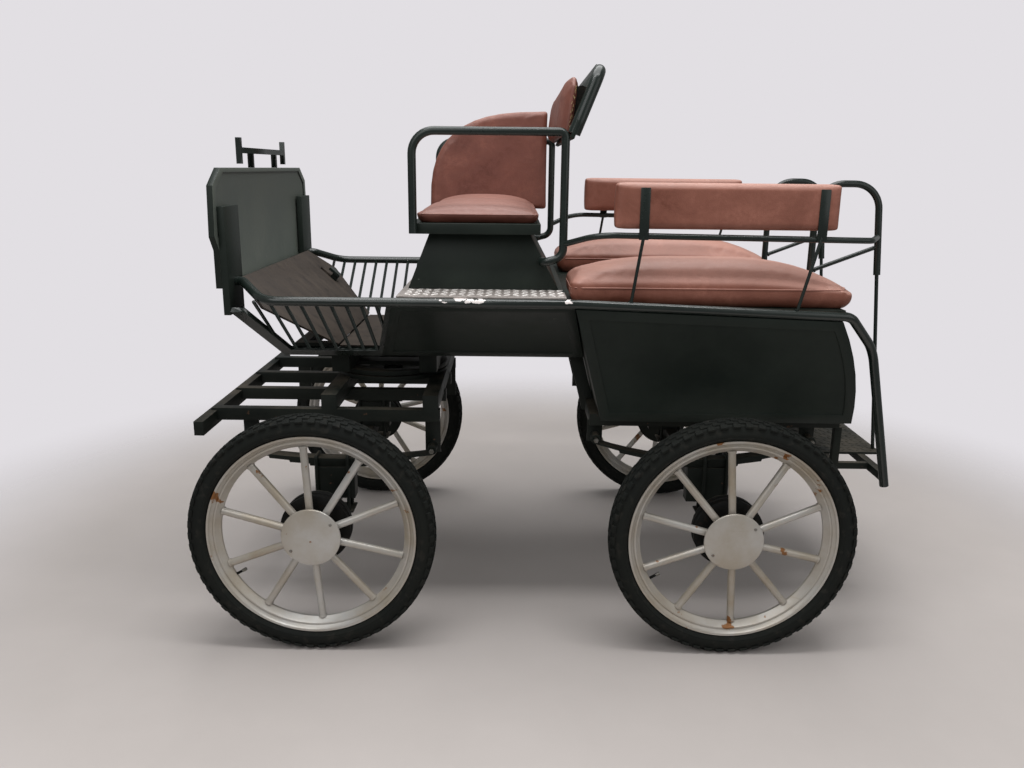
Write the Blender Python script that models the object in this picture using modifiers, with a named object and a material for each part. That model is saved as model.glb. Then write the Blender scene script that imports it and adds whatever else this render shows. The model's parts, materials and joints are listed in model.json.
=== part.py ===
# Horse drawn carriage: a four-wheeled steel wagonette with a driver's seat and two rear benches
# Metres, +X towards the horse, +Y to the left, +Z up
import bpy
import bmesh
import math
from mathutils import Matrix, Vector

# Clearances
GAP = 0.0003
RUNNING_GAP = 0.0055

# Wheels and axles
FRONT_AXLE_X = 0.600
REAR_AXLE_X = -0.672
TRACK = 1.330
WHEEL_RADIUS = 0.375
TYRE_WIDTH = 0.082
TYRE_HEIGHT = 0.050
RIM_WIDTH = 0.062
RIM_DEPTH = 0.047
RIM_WALL = 0.005
WHEEL_STEPS = 28
HUB_STEPS = 16
SPOKE_COUNT = 10
SPOKE_RADIUS = 0.012
HUB_CAP_RADIUS = 0.090
HUB_RADIUS = 0.040
HUB_CAP_OUT = 0.048
DRUM_RADIUS = 0.108
DRUM_WIDTH = 0.052
DRUM_OUT = -0.022
BACKING_THICKNESS = 0.006
SPINDLE_RADIUS = 0.015
AXLE_SIZE = 0.045

# Forecarriage and turntable
KINGPIN_X = 0.440
KINGPIN_RADIUS = 0.0125
RING_RADIUS = 0.200
RING_BORE = 0.155
RING_THICKNESS = 0.015
RING_Z = 0.750
FORE_FRAME_Z = 0.690
FORE_BAR_HEIGHT = 0.040
FORE_BAR_WIDTH = 0.035
FORE_REAR_X = 0.235
CROSSBAR_X = 0.975
CROSSBAR_DEPTH = 0.030
CROSSBAR_HEIGHT = 0.045
CROSSBAR_HALF = 0.530
SPRING_Y = 0.400
OUTER_BAR_Y = 0.380
INNER_BAR_Y = 0.120
FORE_BEAM_REACH = (-0.175, 0.155)
FORE_BEAM_WIDTH = 0.050
BRIDGE_HALF = 0.035
BOSS_RADIUS = 0.034
BOSS_HEIGHT = 0.050
RING_STEPS = 32

# Springs
FRONT_SPRING_X = 0.560
FRONT_SPRING_HALF = 0.300
FRONT_SPRING_EYE_Z = 0.560
FRONT_SPRING_LOW_Z = 0.522
REAR_SPRING_X = -0.625
REAR_SPRING_HALF = 0.350
REAR_SPRING_EYE_Z = 0.604
REAR_SPRING_LOW_Z = 0.532
LEAF_THICKNESS = 0.007
LEAF_WIDTH = 0.045
LEAF_LENGTHS = (1.0, 0.78, 0.56, 0.34)
EYE_RADIUS = 0.016
PIN_RADIUS = 0.008
HANGER_THICKNESS = 0.008
HANGER_LENGTH = 0.050

# Tub: flared front footwell, deeper rear tub
RAIL_RADIUS = 0.014
RAIL_Y = 0.585
RAIL_Z = 1.072
RAIL_REAR_Z = 1.042
RAIL_FRONT_Y = 0.470
RAIL_FRONT_Z = 1.116
RAIL_BEND_X = (0.825, 0.735)
RAIL_BENDS = (0.030, 0.090, 0.0, 0.050, 0.120)
RISER_HALF = 0.530
PANEL_THICKNESS = 0.014
PANEL_BORDER = 0.032
PANEL_RECESS = 0.004
FRONT_LOW_Y = 0.262
FRONT_LOW_Z = 0.848
REAR_LOW_Y = 0.470
REAR_LOW_Z = 0.685
FLOOR_TOP_Z = 0.884
FLOOR_THICKNESS = 0.012
REAR_FLOOR_Z = 0.702
BULKHEAD_TOP_X = -0.192
BULKHEAD_LOW_X = -0.290
BULKHEAD_THICKNESS = 0.014
TUB_REAR_X = -0.970
TUB_BULGE = 0.107
PANEL_FRONT_LOW_X = 0.438
PANEL_FRONT_TOP_X = 0.360
BASKET_FRONT_X = 0.765
BASKET_BAND = 0.040
BASKET_STRIP = 0.012
BASKET_TOP_Z = 1.036
BASKET_RODS = 9
BASKET_ROD_INSET = 0.044
BASKET_ROD_RADIUS = 0.005
DECK_TOP_Z = 1.090
DECK_THICKNESS = 0.006
DECK_FRONT_X = 0.344
RISER_X = 0.330
CHASSIS_RAIL_Y = 0.190
CHASSIS_RAIL_SIZE = 0.040

# Dash and footboard
DASH_X = 0.885
DASH_THICKNESS = 0.018
DASH_TOP_Z = 1.450
DASH_LOW_Z = 1.100
DASH_HALF = 0.568
DASH_WAIST = 0.945
DASH_BORDER = 0.014
DASH_RECESS = 0.005
CHEEK_THICKNESS = 0.020
CHEEK_LOW_Z = 1.020
CHEEK_TOP_Z = 1.340
CHEEK_INNER_Y = 0.400
FOOT_TOP_Z = 1.120
FOOT_LOW_X = 0.572
FOOT_THICKNESS = 0.010
FOOT_TOP_HALF = 0.440
FOOT_CUT_HALF = 0.700
PEDAL_Y = -0.355
PEDAL_SLOT_HALF = 0.017
PEDAL_ARM_HALF = 0.007
PEDAL_PAD_HALF = 0.020
PEDAL_RISE = 0.030
REIN_HALF = 0.260
REIN_LEG_Y = 0.140
REIN_RISE = 0.054
REIN_POST_RISE = 0.093
REIN_POST_DROP = 0.042
REIN_BAR_DEPTH = 0.016
REIN_BAR_HEIGHT = 0.018
REIN_POST_WIDTH = 0.020
REIN_LEG_WIDTH = 0.024

# Driver's seat
SEAT_BOX_LOW = (-0.142, 0.327, 0.420)
SEAT_BOX_TOP = (-0.050, 0.260, 0.400)
SEAT_PAN_Z = 1.262
SEAT_PAN_HEIGHT = 0.032
SEAT_PAN_REAR_X = -0.082
SEAT_PAN_FRONT_X = 0.316
SEAT_PAN_HALF = 0.4565
SEAT_CUSHION_HEIGHT = 0.062
ARM_RADIUS = 0.0125
ARM_CLEARANCE = 0.0005
ARM_Y = SEAT_PAN_HALF + ARM_RADIUS + ARM_CLEARANCE
ARM_TOP_Z = 1.562
ARM_FRONT_X = 0.303
ARM_REAR_X = -0.150
ARM_BEND_Z = 1.196
ARM_FOOT_X = -0.088
ARM_FOOT_Z = 1.180
ARM_BENDS = (0.060, 0.018, 0.036, 0.020)
BACK_LEAN = 0.34
BACK_HEIGHT = 0.225
BACK_INSET = 0.0145
BACK_HALF = ARM_Y - BACK_INSET
BACK_CORNER = 0.060
BACK_SHELL_THICKNESS = 0.012
BACK_PAD_THICKNESS = 0.036
BACK_PAD_LEAN = 0.12
BACK_PAD_LIFT = 0.010
BACK_PAD_HEIGHT = 0.170
BACK_PAD_CORNER = 0.030
WING_LENGTH = 0.475
WING_HEIGHT = 0.385
WING_THICKNESS = 0.032
WING_POWER = 2.9

# Rear benches
BENCH_TOP_Z = 1.060
BENCH_THICKNESS = 0.012
BENCH_FRONT_X = -0.150
BENCH_REAR_X = -0.985
BENCH_INNER_Y = 0.243
CUSHION_REAR_X = -1.000
CUSHION_FRONT_X = -0.160
CUSHION_INNER_Y = 0.282
CUSHION_OUTER_Y = 0.566
CUSHION_HEIGHT = 0.132
BENCH_BACK_LOW_Z = 1.292
BENCH_BACK_TOP_Z = 1.420
BENCH_BACK_FRONT_X = -0.293
BENCH_BACK_REAR_X = -0.937
BENCH_BACK_THICKNESS = 0.048
BENCH_RAIL_Y = 0.566
BENCH_RAIL_Z = 1.272
BENCH_RAIL_RADIUS = 0.009
BENCH_RAIL_START_Z = 1.236
BENCH_RAIL_BEND_X = (-0.245, -1.040)
STRAP_WIDTH = 0.028
STRAP_THICKNESS = 0.005
STRAP_X = (-0.376, -0.890)
STRAP_FOOT_X = (-0.346, -0.835)
STRAP_ROD_RADIUS = 0.005
HOOP_Y = 0.260
HOOP_TOP_Z = 1.420
HOOP_LOW_Z = 1.130
HOOP_FRONT_X = -0.974
HOOP_REAR_X = -1.175
HOOP_RADIUS = 0.011
HOOP_BEND = 0.085
HOOP_ROD_RADIUS = 0.006
HOOP_ROD_FOOT_X = -1.250
BRACE_RADIUS = 0.007
BRACE_Z = (1.222, 1.140)

# Rear entry
DOOR_HALF = 0.225
DOOR_CLEARANCE = 0.009
DOOR_TOP_Z = 1.030
HINGE_RADIUS = 0.007
HINGE_PIN = 0.0035
HINGE_KNUCKLE = 0.032
HINGE_LEAF = 0.045
POST_BEND_X = -1.105
POST_BEND_Z = 0.930
POST_FOOT_X = -1.194
POST_FOOT_Y = 0.500
POST_FOOT_Z = 0.485
STEP_Z = 0.530
STEP_FRONT_X = -1.020
STEP_REAR_X = -1.262
STEP_HALF = 0.300
STEP_BAR = 0.025

# The finished part is moved so that its bounding box is centred on the origin
FRONT_REACH_X = CROSSBAR_X + CROSSBAR_DEPTH / 2
SHIFT_X = -(FRONT_REACH_X + STEP_REAR_X) / 2

PARTS = "horse_drawn_carriage"
CUTTERS = "cutters"
MATERIALS = {}


# Scene and object helpers
def clear_scene():
    for obj in list(bpy.data.objects):
        bpy.data.objects.remove(obj, do_unlink=True)
    for name in (PARTS, CUTTERS):
        collection = bpy.data.collections.new(name)
        bpy.context.scene.collection.children.link(collection)


def linear(value):
    return value / 12.92 if value <= 0.04045 else ((value + 0.055) / 1.055) ** 2.4


def material(name, hex_colour, roughness, metallic=0.0):
    made = bpy.data.materials.new(name)
    made.use_nodes = True
    shader = made.node_tree.nodes["Principled BSDF"]
    rgb = [linear(int(hex_colour[i:i + 2], 16) / 255) for i in (0, 2, 4)]
    shader.inputs["Base Color"].default_value = (*rgb, 1.0)
    shader.inputs["Roughness"].default_value = roughness
    shader.inputs["Metallic"].default_value = metallic
    MATERIALS[name] = made


def make_materials():
    material("green_paint", "29322C", 0.35)
    material("black_tube", "1C2421", 0.25)
    material("silver_paint", "A9A5A0", 0.45, 0.3)
    material("tyre_rubber", "2A2C2B", 0.85)
    material("brown_leather", "97594A", 0.5)
    material("floor_board", "6A5F58", 0.7)
    material("tread_plate", "C9BFB9", 0.35, 0.8)


def collect(obj, name=PARTS):
    bpy.data.collections[name].objects.link(obj)
    return obj


def finish(obj, name, material_name):
    # Flat areas split by booleans become single faces again
    made = bmesh.new()
    made.from_mesh(obj.data)
    bmesh.ops.dissolve_limit(made, angle_limit=0.002, verts=made.verts, edges=made.edges)
    made.to_mesh(obj.data)
    made.free()
    obj.name = name
    obj.data.name = name
    obj.data.materials.clear()
    obj.data.materials.append(MATERIALS[material_name])
    obj.data.set_sharp_from_angle(angle=math.radians(35))
    return obj


def mesh_object(mesh, matrix=None):
    obj = collect(bpy.data.objects.new("piece", mesh))
    if matrix is not None:
        obj.matrix_world = matrix
    return obj


def tidy(mesh, weld=1e-5):
    made = bmesh.new()
    made.from_mesh(mesh)
    bmesh.ops.remove_doubles(made, verts=made.verts, dist=weld)
    bmesh.ops.dissolve_degenerate(made, edges=made.edges, dist=weld / 2)
    bmesh.ops.recalc_face_normals(made, faces=made.faces)
    made.to_mesh(mesh)
    made.free()
    for polygon in mesh.polygons:
        polygon.use_smooth = True
    return mesh


def as_mesh(obj, weld=1e-5):
    bpy.context.view_layer.update()
    graph = bpy.context.evaluated_depsgraph_get()
    mesh = tidy(bpy.data.meshes.new_from_object(obj.evaluated_get(graph)), weld)
    matrix = obj.matrix_world.copy()
    bpy.data.objects.remove(obj, do_unlink=True)
    return mesh_object(mesh, matrix)


def boolean(target, tool, operation):
    modifier = target.modifiers.new("cut", "BOOLEAN")
    modifier.operation = operation
    modifier.solver = "EXACT"
    modifier.object = tool
    result = as_mesh(target, 1e-6)
    bpy.data.objects.remove(tool, do_unlink=True)
    return result


def union(pieces):
    result = pieces[0]
    for piece in pieces[1:]:
        result = boolean(result, piece, "UNION")
    return result


def cut(target, tools):
    for tool in tools:
        target = boolean(target, tool, "DIFFERENCE")
    return target


def mirrored(obj, name, material_name):
    mesh = obj.data.copy()
    mesh.transform(Matrix.Scale(-1, 4, Vector((0, 1, 0))) @ obj.matrix_world)
    mesh.flip_normals()
    return finish(mesh_object(mesh), name, material_name)


# Shape helpers
def box(low, high):
    centre = [(a + b) / 2 for a, b in zip(low, high)]
    size = [b - a for a, b in zip(low, high)]
    made = bmesh.new()
    bmesh.ops.create_cube(made, size=1.0)
    bmesh.ops.scale(made, vec=size, verts=made.verts)
    mesh = bpy.data.meshes.new("box")
    made.to_mesh(mesh)
    made.free()
    return mesh_object(mesh, Matrix.Translation(centre))


def cylinder(centre, axis, radius, length, sides=24):
    made = bmesh.new()
    bmesh.ops.create_cone(made, cap_ends=True, segments=sides, radius1=radius, radius2=radius, depth=length)
    mesh = bpy.data.meshes.new("cylinder")
    made.to_mesh(mesh)
    made.free()
    turn = Vector((0, 0, 1)).rotation_difference(Vector(axis)).to_matrix().to_4x4()
    return mesh_object(mesh, Matrix.Translation(centre) @ turn)


def swapped(piece):
    # The piece's mirror image on the other side of the carriage
    piece.data.transform(Matrix.Scale(-1, 4, Vector((0, 1, 0))) @ piece.matrix_world)
    piece.data.flip_normals()
    piece.matrix_world = Matrix.Identity(4)
    return piece


def rounded(points, radius, steps=3):
    # Corners of a path turned into arcs; radius is one value or one for each inner corner
    points = [Vector(p) for p in points]
    radii = radius if isinstance(radius, (list, tuple)) else [radius] * (len(points) - 2)
    path = [points[0]]
    for before, corner, after, r in zip(points, points[1:], points[2:], radii):
        a = (before - corner).normalized()
        b = (after - corner).normalized()
        angle = a.angle(b)
        if r <= 0 or angle > math.radians(179):
            path.append(corner)
            continue
        reach = r / math.tan(angle / 2)
        centre = corner + (a + b).normalized() * (r / math.sin(angle / 2))
        start = corner + a * reach - centre
        axis = start.cross(corner + b * reach - centre).normalized()
        for i in range(steps + 1):
            turn = Matrix.Rotation((math.pi - angle) * i / steps, 3, axis)
            path.append(centre + turn @ start)
    path.append(points[-1])
    return path


def tube(points, radius, resolution=2):
    curve = bpy.data.curves.new("tube", "CURVE")
    curve.dimensions = "3D"
    curve.bevel_depth = radius
    curve.bevel_resolution = resolution
    curve.use_fill_caps = True
    spline = curve.splines.new("POLY")
    spline.points.add(len(points) - 1)
    for target, point in zip(spline.points, points):
        target.co = (*point, 1.0)
    return as_mesh(collect(bpy.data.objects.new("tube", curve)))


def plate(outline, thickness, frame):
    # A flat outline in the frame's own x and y, with its thickness half on each side of the plane
    curve = bpy.data.curves.new("plate", "CURVE")
    curve.dimensions = "2D"
    curve.fill_mode = "BOTH"
    curve.extrude = thickness / 2
    spline = curve.splines.new("POLY")
    spline.points.add(len(outline) - 1)
    spline.use_cyclic_u = True
    for target, (u, v) in zip(spline.points, outline):
        target.co = (u, v, 0.0, 1.0)
    obj = collect(bpy.data.objects.new("plate", curve))
    obj.matrix_world = frame
    return as_mesh(obj)


def lathe(profile, axis_frame, steps):
    # A profile of radius and distance along the frame's own z, turned round that axis
    mesh = bpy.data.meshes.new("profile")
    points = [(radius, 0.0, along) for radius, along in profile]
    mesh.from_pydata(points, [(i, i + 1) for i in range(len(points) - 1)], [])
    obj = mesh_object(mesh, axis_frame)
    screw = obj.modifiers.new("turn", "SCREW")
    screw.axis = "Z"
    screw.angle = math.tau
    screw.steps = screw.render_steps = steps
    screw.use_merge_vertices = True
    screw.merge_threshold = 0.00001
    return as_mesh(obj)


def frame_of(origin, x_axis, y_axis):
    x = Vector(x_axis).normalized()
    z = x.cross(Vector(y_axis)).normalized()
    y = z.cross(x)
    matrix = Matrix((x, y, z)).transposed().to_4x4()
    matrix.translation = Vector(origin)
    return matrix


def inset(outline, border):
    # A convex anticlockwise outline moved inwards by the border
    corners = []
    count = len(outline)
    for i in range(count):
        before, here, after = (Vector(outline[(i + k) % count]) for k in (-1, 0, 1))
        a = (here - before).normalized()
        b = (after - here).normalized()
        inner_a = Vector((-a.y, a.x))
        inner_b = Vector((-b.y, b.x))
        corners.append(tuple(here + (inner_a + inner_b) * (border / (1 + inner_a.dot(inner_b)))))
    return corners


def section_frame(y):
    # Frame of a vertical section: own x is forward, own y is up
    return frame_of((0, y, 0), (1, 0, 0), (0, 0, 1))


def cross_frame(x):
    # Frame of a cross section: own x is to the left, own y is up
    return frame_of((x, 0, 0), (0, 1, 0), (0, 0, 1))


def level_frame(z):
    return frame_of((0, 0, z), (1, 0, 0), (0, 1, 0))


# Tub planes: own y climbs the flared side from its lower edge towards the top rail's axis
FRONT_FLARE = Vector((0, RAIL_Y - FRONT_LOW_Y, RAIL_Z - FRONT_LOW_Z))
REAR_FLARE = Vector((0, RAIL_Y - REAR_LOW_Y, RAIL_Z - REAR_LOW_Z))
FRONT_SIDE = frame_of((0, FRONT_LOW_Y, FRONT_LOW_Z), (1, 0, 0), FRONT_FLARE)
REAR_SIDE = frame_of((0, REAR_LOW_Y, REAR_LOW_Z), (1, 0, 0), REAR_FLARE)


def front_climb(z):
    return (z - FRONT_LOW_Z) / FRONT_FLARE.normalized().z


def inner_y(z, low_y, low_z, flare):
    # Inner face of a side panel at a height
    middle = low_y + (z - low_z) * flare.y / flare.z
    return middle - (PANEL_THICKNESS / 2 + GAP) * flare.length / flare.z


def rear_climb(z):
    return (z - REAR_LOW_Z) / REAR_FLARE.normalized().z


def bulkhead_x(z):
    share = (z - REAR_LOW_Z) / (RAIL_Z - REAR_LOW_Z)
    return BULKHEAD_LOW_X + (BULKHEAD_TOP_X - BULKHEAD_LOW_X) * share


def tub_rear_x(z):
    share = (RAIL_REAR_Z - z) / (RAIL_REAR_Z - REAR_LOW_Z)
    return TUB_REAR_X - TUB_BULGE * (1 - (1 - share) ** 2)


def rail_height(x):
    if x > BULKHEAD_TOP_X:
        return RAIL_Z
    share = (BULKHEAD_TOP_X - x) / (BULKHEAD_TOP_X - TUB_REAR_X)
    return RAIL_Z + (RAIL_REAR_Z - RAIL_Z) * share


def outside(frame, reach=1.6):
    # A block outside a side panel's inner face, used to trim what lies between the two sides
    pieces = []
    for sign in (1, -1):
        low = PANEL_THICKNESS / 2 + GAP
        made = box((-2 * reach, -reach, low - reach), (2 * reach, reach, low))
        made.data.transform(made.matrix_world)
        made.data.transform(frame)
        made.matrix_world = Matrix.Identity(4)
        if sign < 0:
            made.data.transform(Matrix.Scale(-1, 4, Vector((0, 1, 0))))
            made.data.flip_normals()
        pieces.append(made)
    return pieces


def between(obj, frame):
    return cut(obj, outside(frame))


# Tub
def framed_panel(outline, frame):
    # A panel with a raised border round a shallow field on its outer face
    panel = plate(outline, PANEL_THICKNESS, frame)
    outer = frame @ Matrix.Translation((0, 0, -PANEL_THICKNESS / 2))
    return cut(panel, [plate(inset(outline, PANEL_BORDER), PANEL_RECESS * 2, outer)])


def front_side_outline():
    top = front_climb(RAIL_Z) - RAIL_RADIUS - GAP
    rear_clear = BULKHEAD_THICKNESS / 2 + 0.0022
    return [
        (bulkhead_x(FRONT_LOW_Z) + rear_clear, 0.0),
        (PANEL_FRONT_LOW_X, 0.0),
        (PANEL_FRONT_TOP_X, top),
        (bulkhead_x(RAIL_Z) + rear_clear, top),
    ]


def rear_side_outline():
    # From the lower front corner: rear edge is a curve that bulges towards the bottom
    def top_climb(x):
        return rear_climb(rail_height(x)) - RAIL_RADIUS - GAP
    top_z = RAIL_REAR_Z - RAIL_RADIUS
    rear = []
    for i in range(7):
        z = top_z + (REAR_LOW_Z - top_z) * i / 6
        rear.append((tub_rear_x(z), min(rear_climb(z), top_climb(TUB_REAR_X))))
    front_x = BULKHEAD_THICKNESS / 2 + bulkhead_x(REAR_LOW_Z)
    return rear + [(front_x, 0.0), (front_x + BULKHEAD_TOP_X - BULKHEAD_LOW_X, top_climb(BULKHEAD_TOP_X))]


def make_tub_sides():
    for name, outline, frame in (("front_side", front_side_outline(), FRONT_SIDE),
                                 ("rear_side", rear_side_outline(), REAR_SIDE)):
        left = finish(framed_panel(outline, frame), name + "_left", "green_paint")
        mirrored(left, name + "_right", "green_paint")


def make_basket():
    # An open panel of upright rods welded between a bent flat band and the top rail
    top = front_climb(RAIL_Z) - RAIL_RADIUS - GAP
    lean = (PANEL_FRONT_LOW_X - PANEL_FRONT_TOP_X) / top
    rear = PANEL_FRONT_LOW_X + GAP
    inner_rear = rear + BASKET_STRIP
    front_top = front_climb(BASKET_TOP_Z)
    cheek = DASH_X - DASH_THICKNESS - CHEEK_THICKNESS - 2 * GAP
    inner_front = BASKET_FRONT_X - BASKET_BAND
    slope = front_top / (cheek - BASKET_FRONT_X)
    outline = [
        (rear, 0.0),
        (BASKET_FRONT_X, 0.0),
        (cheek, front_top),
        (cheek - BASKET_BAND, front_top),
        (inner_front + BASKET_BAND / slope, BASKET_BAND),
        (inner_rear - lean * BASKET_BAND, BASKET_BAND),
        (inner_rear - lean * top, top),
        (rear - lean * top, top),
    ]
    pieces = [plate(outline, PANEL_THICKNESS, FRONT_SIDE)]
    first = PANEL_FRONT_TOP_X + BASKET_ROD_INSET
    pitch = (cheek - BASKET_BAND - BASKET_ROD_INSET - first) / (BASKET_RODS - 1)
    for i in range(BASKET_RODS):
        x = first + i * pitch
        foot = max(BASKET_BAND / 2, (inner_rear - x) / lean - 0.010, (x - inner_front) * slope - 0.015)
        start = FRONT_SIDE @ Vector((x, foot, 0))
        end = FRONT_SIDE @ Vector((x, top + 0.007, 0))
        pieces.append(tube([start, end], BASKET_ROD_RADIUS, 1))
    basket = cut(union(pieces), [tube(rail_path(), RAIL_RADIUS + GAP)])
    left = finish(basket, "basket_left", "black_tube")
    mirrored(left, "basket_right", "black_tube")


def rail_path():
    # Axis of the top rail from the dash cheek back to the foot of the rear post
    rail_y_rear = REAR_LOW_Y + (RAIL_REAR_Z - REAR_LOW_Z) * REAR_FLARE.y / REAR_FLARE.z
    cheek = DASH_X - DASH_THICKNESS - CHEEK_THICKNESS - 2 * GAP
    points = [
        (cheek, RAIL_FRONT_Y, RAIL_FRONT_Z),
        (RAIL_BEND_X[0], RAIL_FRONT_Y, RAIL_FRONT_Z),
        (RAIL_BEND_X[1], RAIL_Y, RAIL_Z),
        (BULKHEAD_TOP_X, RAIL_Y, RAIL_Z),
        (TUB_REAR_X - 0.030, rail_y_rear, RAIL_REAR_Z),
        (POST_BEND_X, POST_FOOT_Y + 0.004, POST_BEND_Z),
        (POST_FOOT_X, POST_FOOT_Y, POST_FOOT_Z),
    ]
    return rounded(points, RAIL_BENDS)


def make_top_rail():
    left = tube(rail_path(), RAIL_RADIUS)
    finish(left, "top_rail_left", "black_tube")
    mirrored(left, "top_rail_right", "black_tube")


def make_floors():
    # Both boards are cut wider than needed and trimmed by the side panels
    rear = bulkhead_x(FLOOR_TOP_Z) + BULKHEAD_THICKNESS / 2 + 2 * GAP
    floor = box((rear, -RAIL_Y, FLOOR_TOP_Z - FLOOR_THICKNESS), (FOOT_LOW_X, RAIL_Y, FLOOR_TOP_Z))
    finish(between(floor, FRONT_SIDE), "front_floor", "floor_board")
    front = bulkhead_x(REAR_FLOOR_Z - FLOOR_THICKNESS) - BULKHEAD_THICKNESS / 2 - 2 * GAP
    rear = tub_rear_x(REAR_FLOOR_Z) + PANEL_THICKNESS + 0.003
    floor = box((rear, -RAIL_Y, REAR_FLOOR_Z - FLOOR_THICKNESS), (front, RAIL_Y, REAR_FLOOR_Z))
    finish(between(floor, REAR_SIDE), "rear_floor", "floor_board")


def make_bulkhead():
    low = Vector((BULKHEAD_LOW_X, 0, REAR_LOW_Z))
    up = Vector((BULKHEAD_TOP_X - BULKHEAD_LOW_X, 0, RAIL_Z - REAR_LOW_Z))
    bench_low = BENCH_TOP_Z - BENCH_THICKNESS
    height = (bench_low - GAP - REAR_LOW_Z) * up.length / up.z - 0.002
    frame = frame_of(low, (0, 1, 0), up)
    foot = 0.003
    outline = [(-RAIL_Y, foot), (RAIL_Y, foot), (RAIL_Y, height), (-RAIL_Y, height)]
    wall = between(plate(outline, BULKHEAD_THICKNESS, frame), REAR_SIDE)
    # Folded top between the two bench boards
    shelf_half = BENCH_INNER_Y - GAP
    x = bulkhead_x(bench_low)
    shelf = box((x - 0.006, -shelf_half, bench_low - 0.006), (BENCH_FRONT_X, shelf_half, BENCH_TOP_Z))
    finish(union([wall, shelf]), "bulkhead", "green_paint")


def make_riser():
    # Upright wall that closes the space under the driver's deck at its front
    low = FLOOR_TOP_Z + GAP
    high = DECK_TOP_Z - DECK_THICKNESS - GAP
    wall = box((RISER_X - PANEL_THICKNESS, -RISER_HALF, low), (RISER_X, RISER_HALF, high))
    finish(between(wall, FRONT_SIDE), "seat_riser", "green_paint")


def make_deck():
    low = DECK_TOP_Z - DECK_THICKNESS
    half = RAIL_Y - math.sqrt(RAIL_RADIUS ** 2 - (low - RAIL_Z) ** 2) - GAP
    lip_x = BENCH_FRONT_X - 0.002
    lip_half = inner_y(BENCH_TOP_Z, FRONT_LOW_Y, FRONT_LOW_Z, FRONT_FLARE)
    deck = box((lip_x - DECK_THICKNESS, -half, low), (DECK_FRONT_X, half, DECK_TOP_Z))
    lip = box((lip_x - DECK_THICKNESS, -lip_half, BENCH_TOP_Z + GAP), (lip_x, lip_half, low + 0.003))
    finish(union([deck, lip]), "tread_deck", "tread_plate")


def make_rear_wall():
    # Curved corner panels each side of a hinged door
    def band(z_low, z_high):
        outer = [(tub_rear_x(z), z) for z in (z_low + (z_high - z_low) * i / 6 for i in range(7))]
        inner = [(x + PANEL_THICKNESS, z) for x, z in reversed(outer)]
        return outer + inner
    low = REAR_LOW_Z + 0.001
    high = BENCH_TOP_Z - BENCH_THICKNESS - GAP - 0.022
    jamb_y = DOOR_HALF + DOOR_CLEARANCE
    width = RAIL_Y - jamb_y
    corner = plate(band(low, high), width, section_frame(jamb_y + width / 2))
    corner = between(corner, REAR_SIDE)
    mirrored(corner, "rear_corner_right", "green_paint")
    door = plate(band(REAR_FLOOR_Z + 0.004, DOOR_TOP_Z), 2 * DOOR_HALF, section_frame(0))
    hinge_x = tub_rear_x(REAR_FLOOR_Z) - HINGE_RADIUS - RUNNING_GAP
    knuckle = HINGE_KNUCKLE
    turning = [door]
    fixed = [corner]
    bores = []
    for z in (REAR_FLOOR_Z + 0.080, DOOR_TOP_Z - 0.050):
        # Door's knuckle above, the corner's below with the pin that runs up through both
        face = tub_rear_x(z) + PANEL_THICKNESS / 2
        low_face = tub_rear_x(z - knuckle) + PANEL_THICKNESS / 2
        low = z - knuckle / 2 - 2 * GAP
        turning.append(cylinder((hinge_x, DOOR_HALF, z), (0, 0, 1), HINGE_RADIUS, knuckle, 12))
        turning.append(box((hinge_x, DOOR_HALF - HINGE_LEAF, z - knuckle / 2),
                           (face, DOOR_HALF - 0.0045, z + knuckle / 2)))
        bores.append(cylinder((hinge_x, DOOR_HALF, z), (0, 0, 1), HINGE_PIN + GAP, 2 * knuckle, 12))
        fixed.append(cylinder((hinge_x, DOOR_HALF, low - knuckle / 2), (0, 0, 1), HINGE_RADIUS, knuckle, 12))
        pin_length = 2 * knuckle - 0.004
        fixed.append(cylinder((hinge_x, DOOR_HALF, z - knuckle / 2), (0, 0, 1), HINGE_PIN, pin_length, 12))
        fixed.append(box((hinge_x, DOOR_HALF + 0.003, low - knuckle), (low_face, jamb_y + HINGE_LEAF, low)))
    finish(union(fixed), "rear_corner_left", "green_paint")
    door = cut(union(turning), bores)
    finish(door, "rear_door", "green_paint")
    return hinge_x


# Chassis, turntable and forecarriage
def hanger(x, side, top_z, eye_z):
    # A flat hanger beside the spring with a pin through the spring's eye
    inner = SPRING_Y - LEAF_WIDTH / 2 - RUNNING_GAP - HANGER_THICKNESS
    drop = box((x - HANGER_LENGTH / 2, inner, eye_z - 0.022),
               (x + HANGER_LENGTH / 2, inner + HANGER_THICKNESS, top_z))
    start = inner + HANGER_THICKNESS / 2
    end = SPRING_Y + LEAF_WIDTH / 2 + 0.008
    pin = cylinder((x, (start + end) / 2, eye_z), (0, 1, 0), PIN_RADIUS, end - start, 12)
    return [drop, pin] if side > 0 else [swapped(drop), swapped(pin)]


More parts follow.
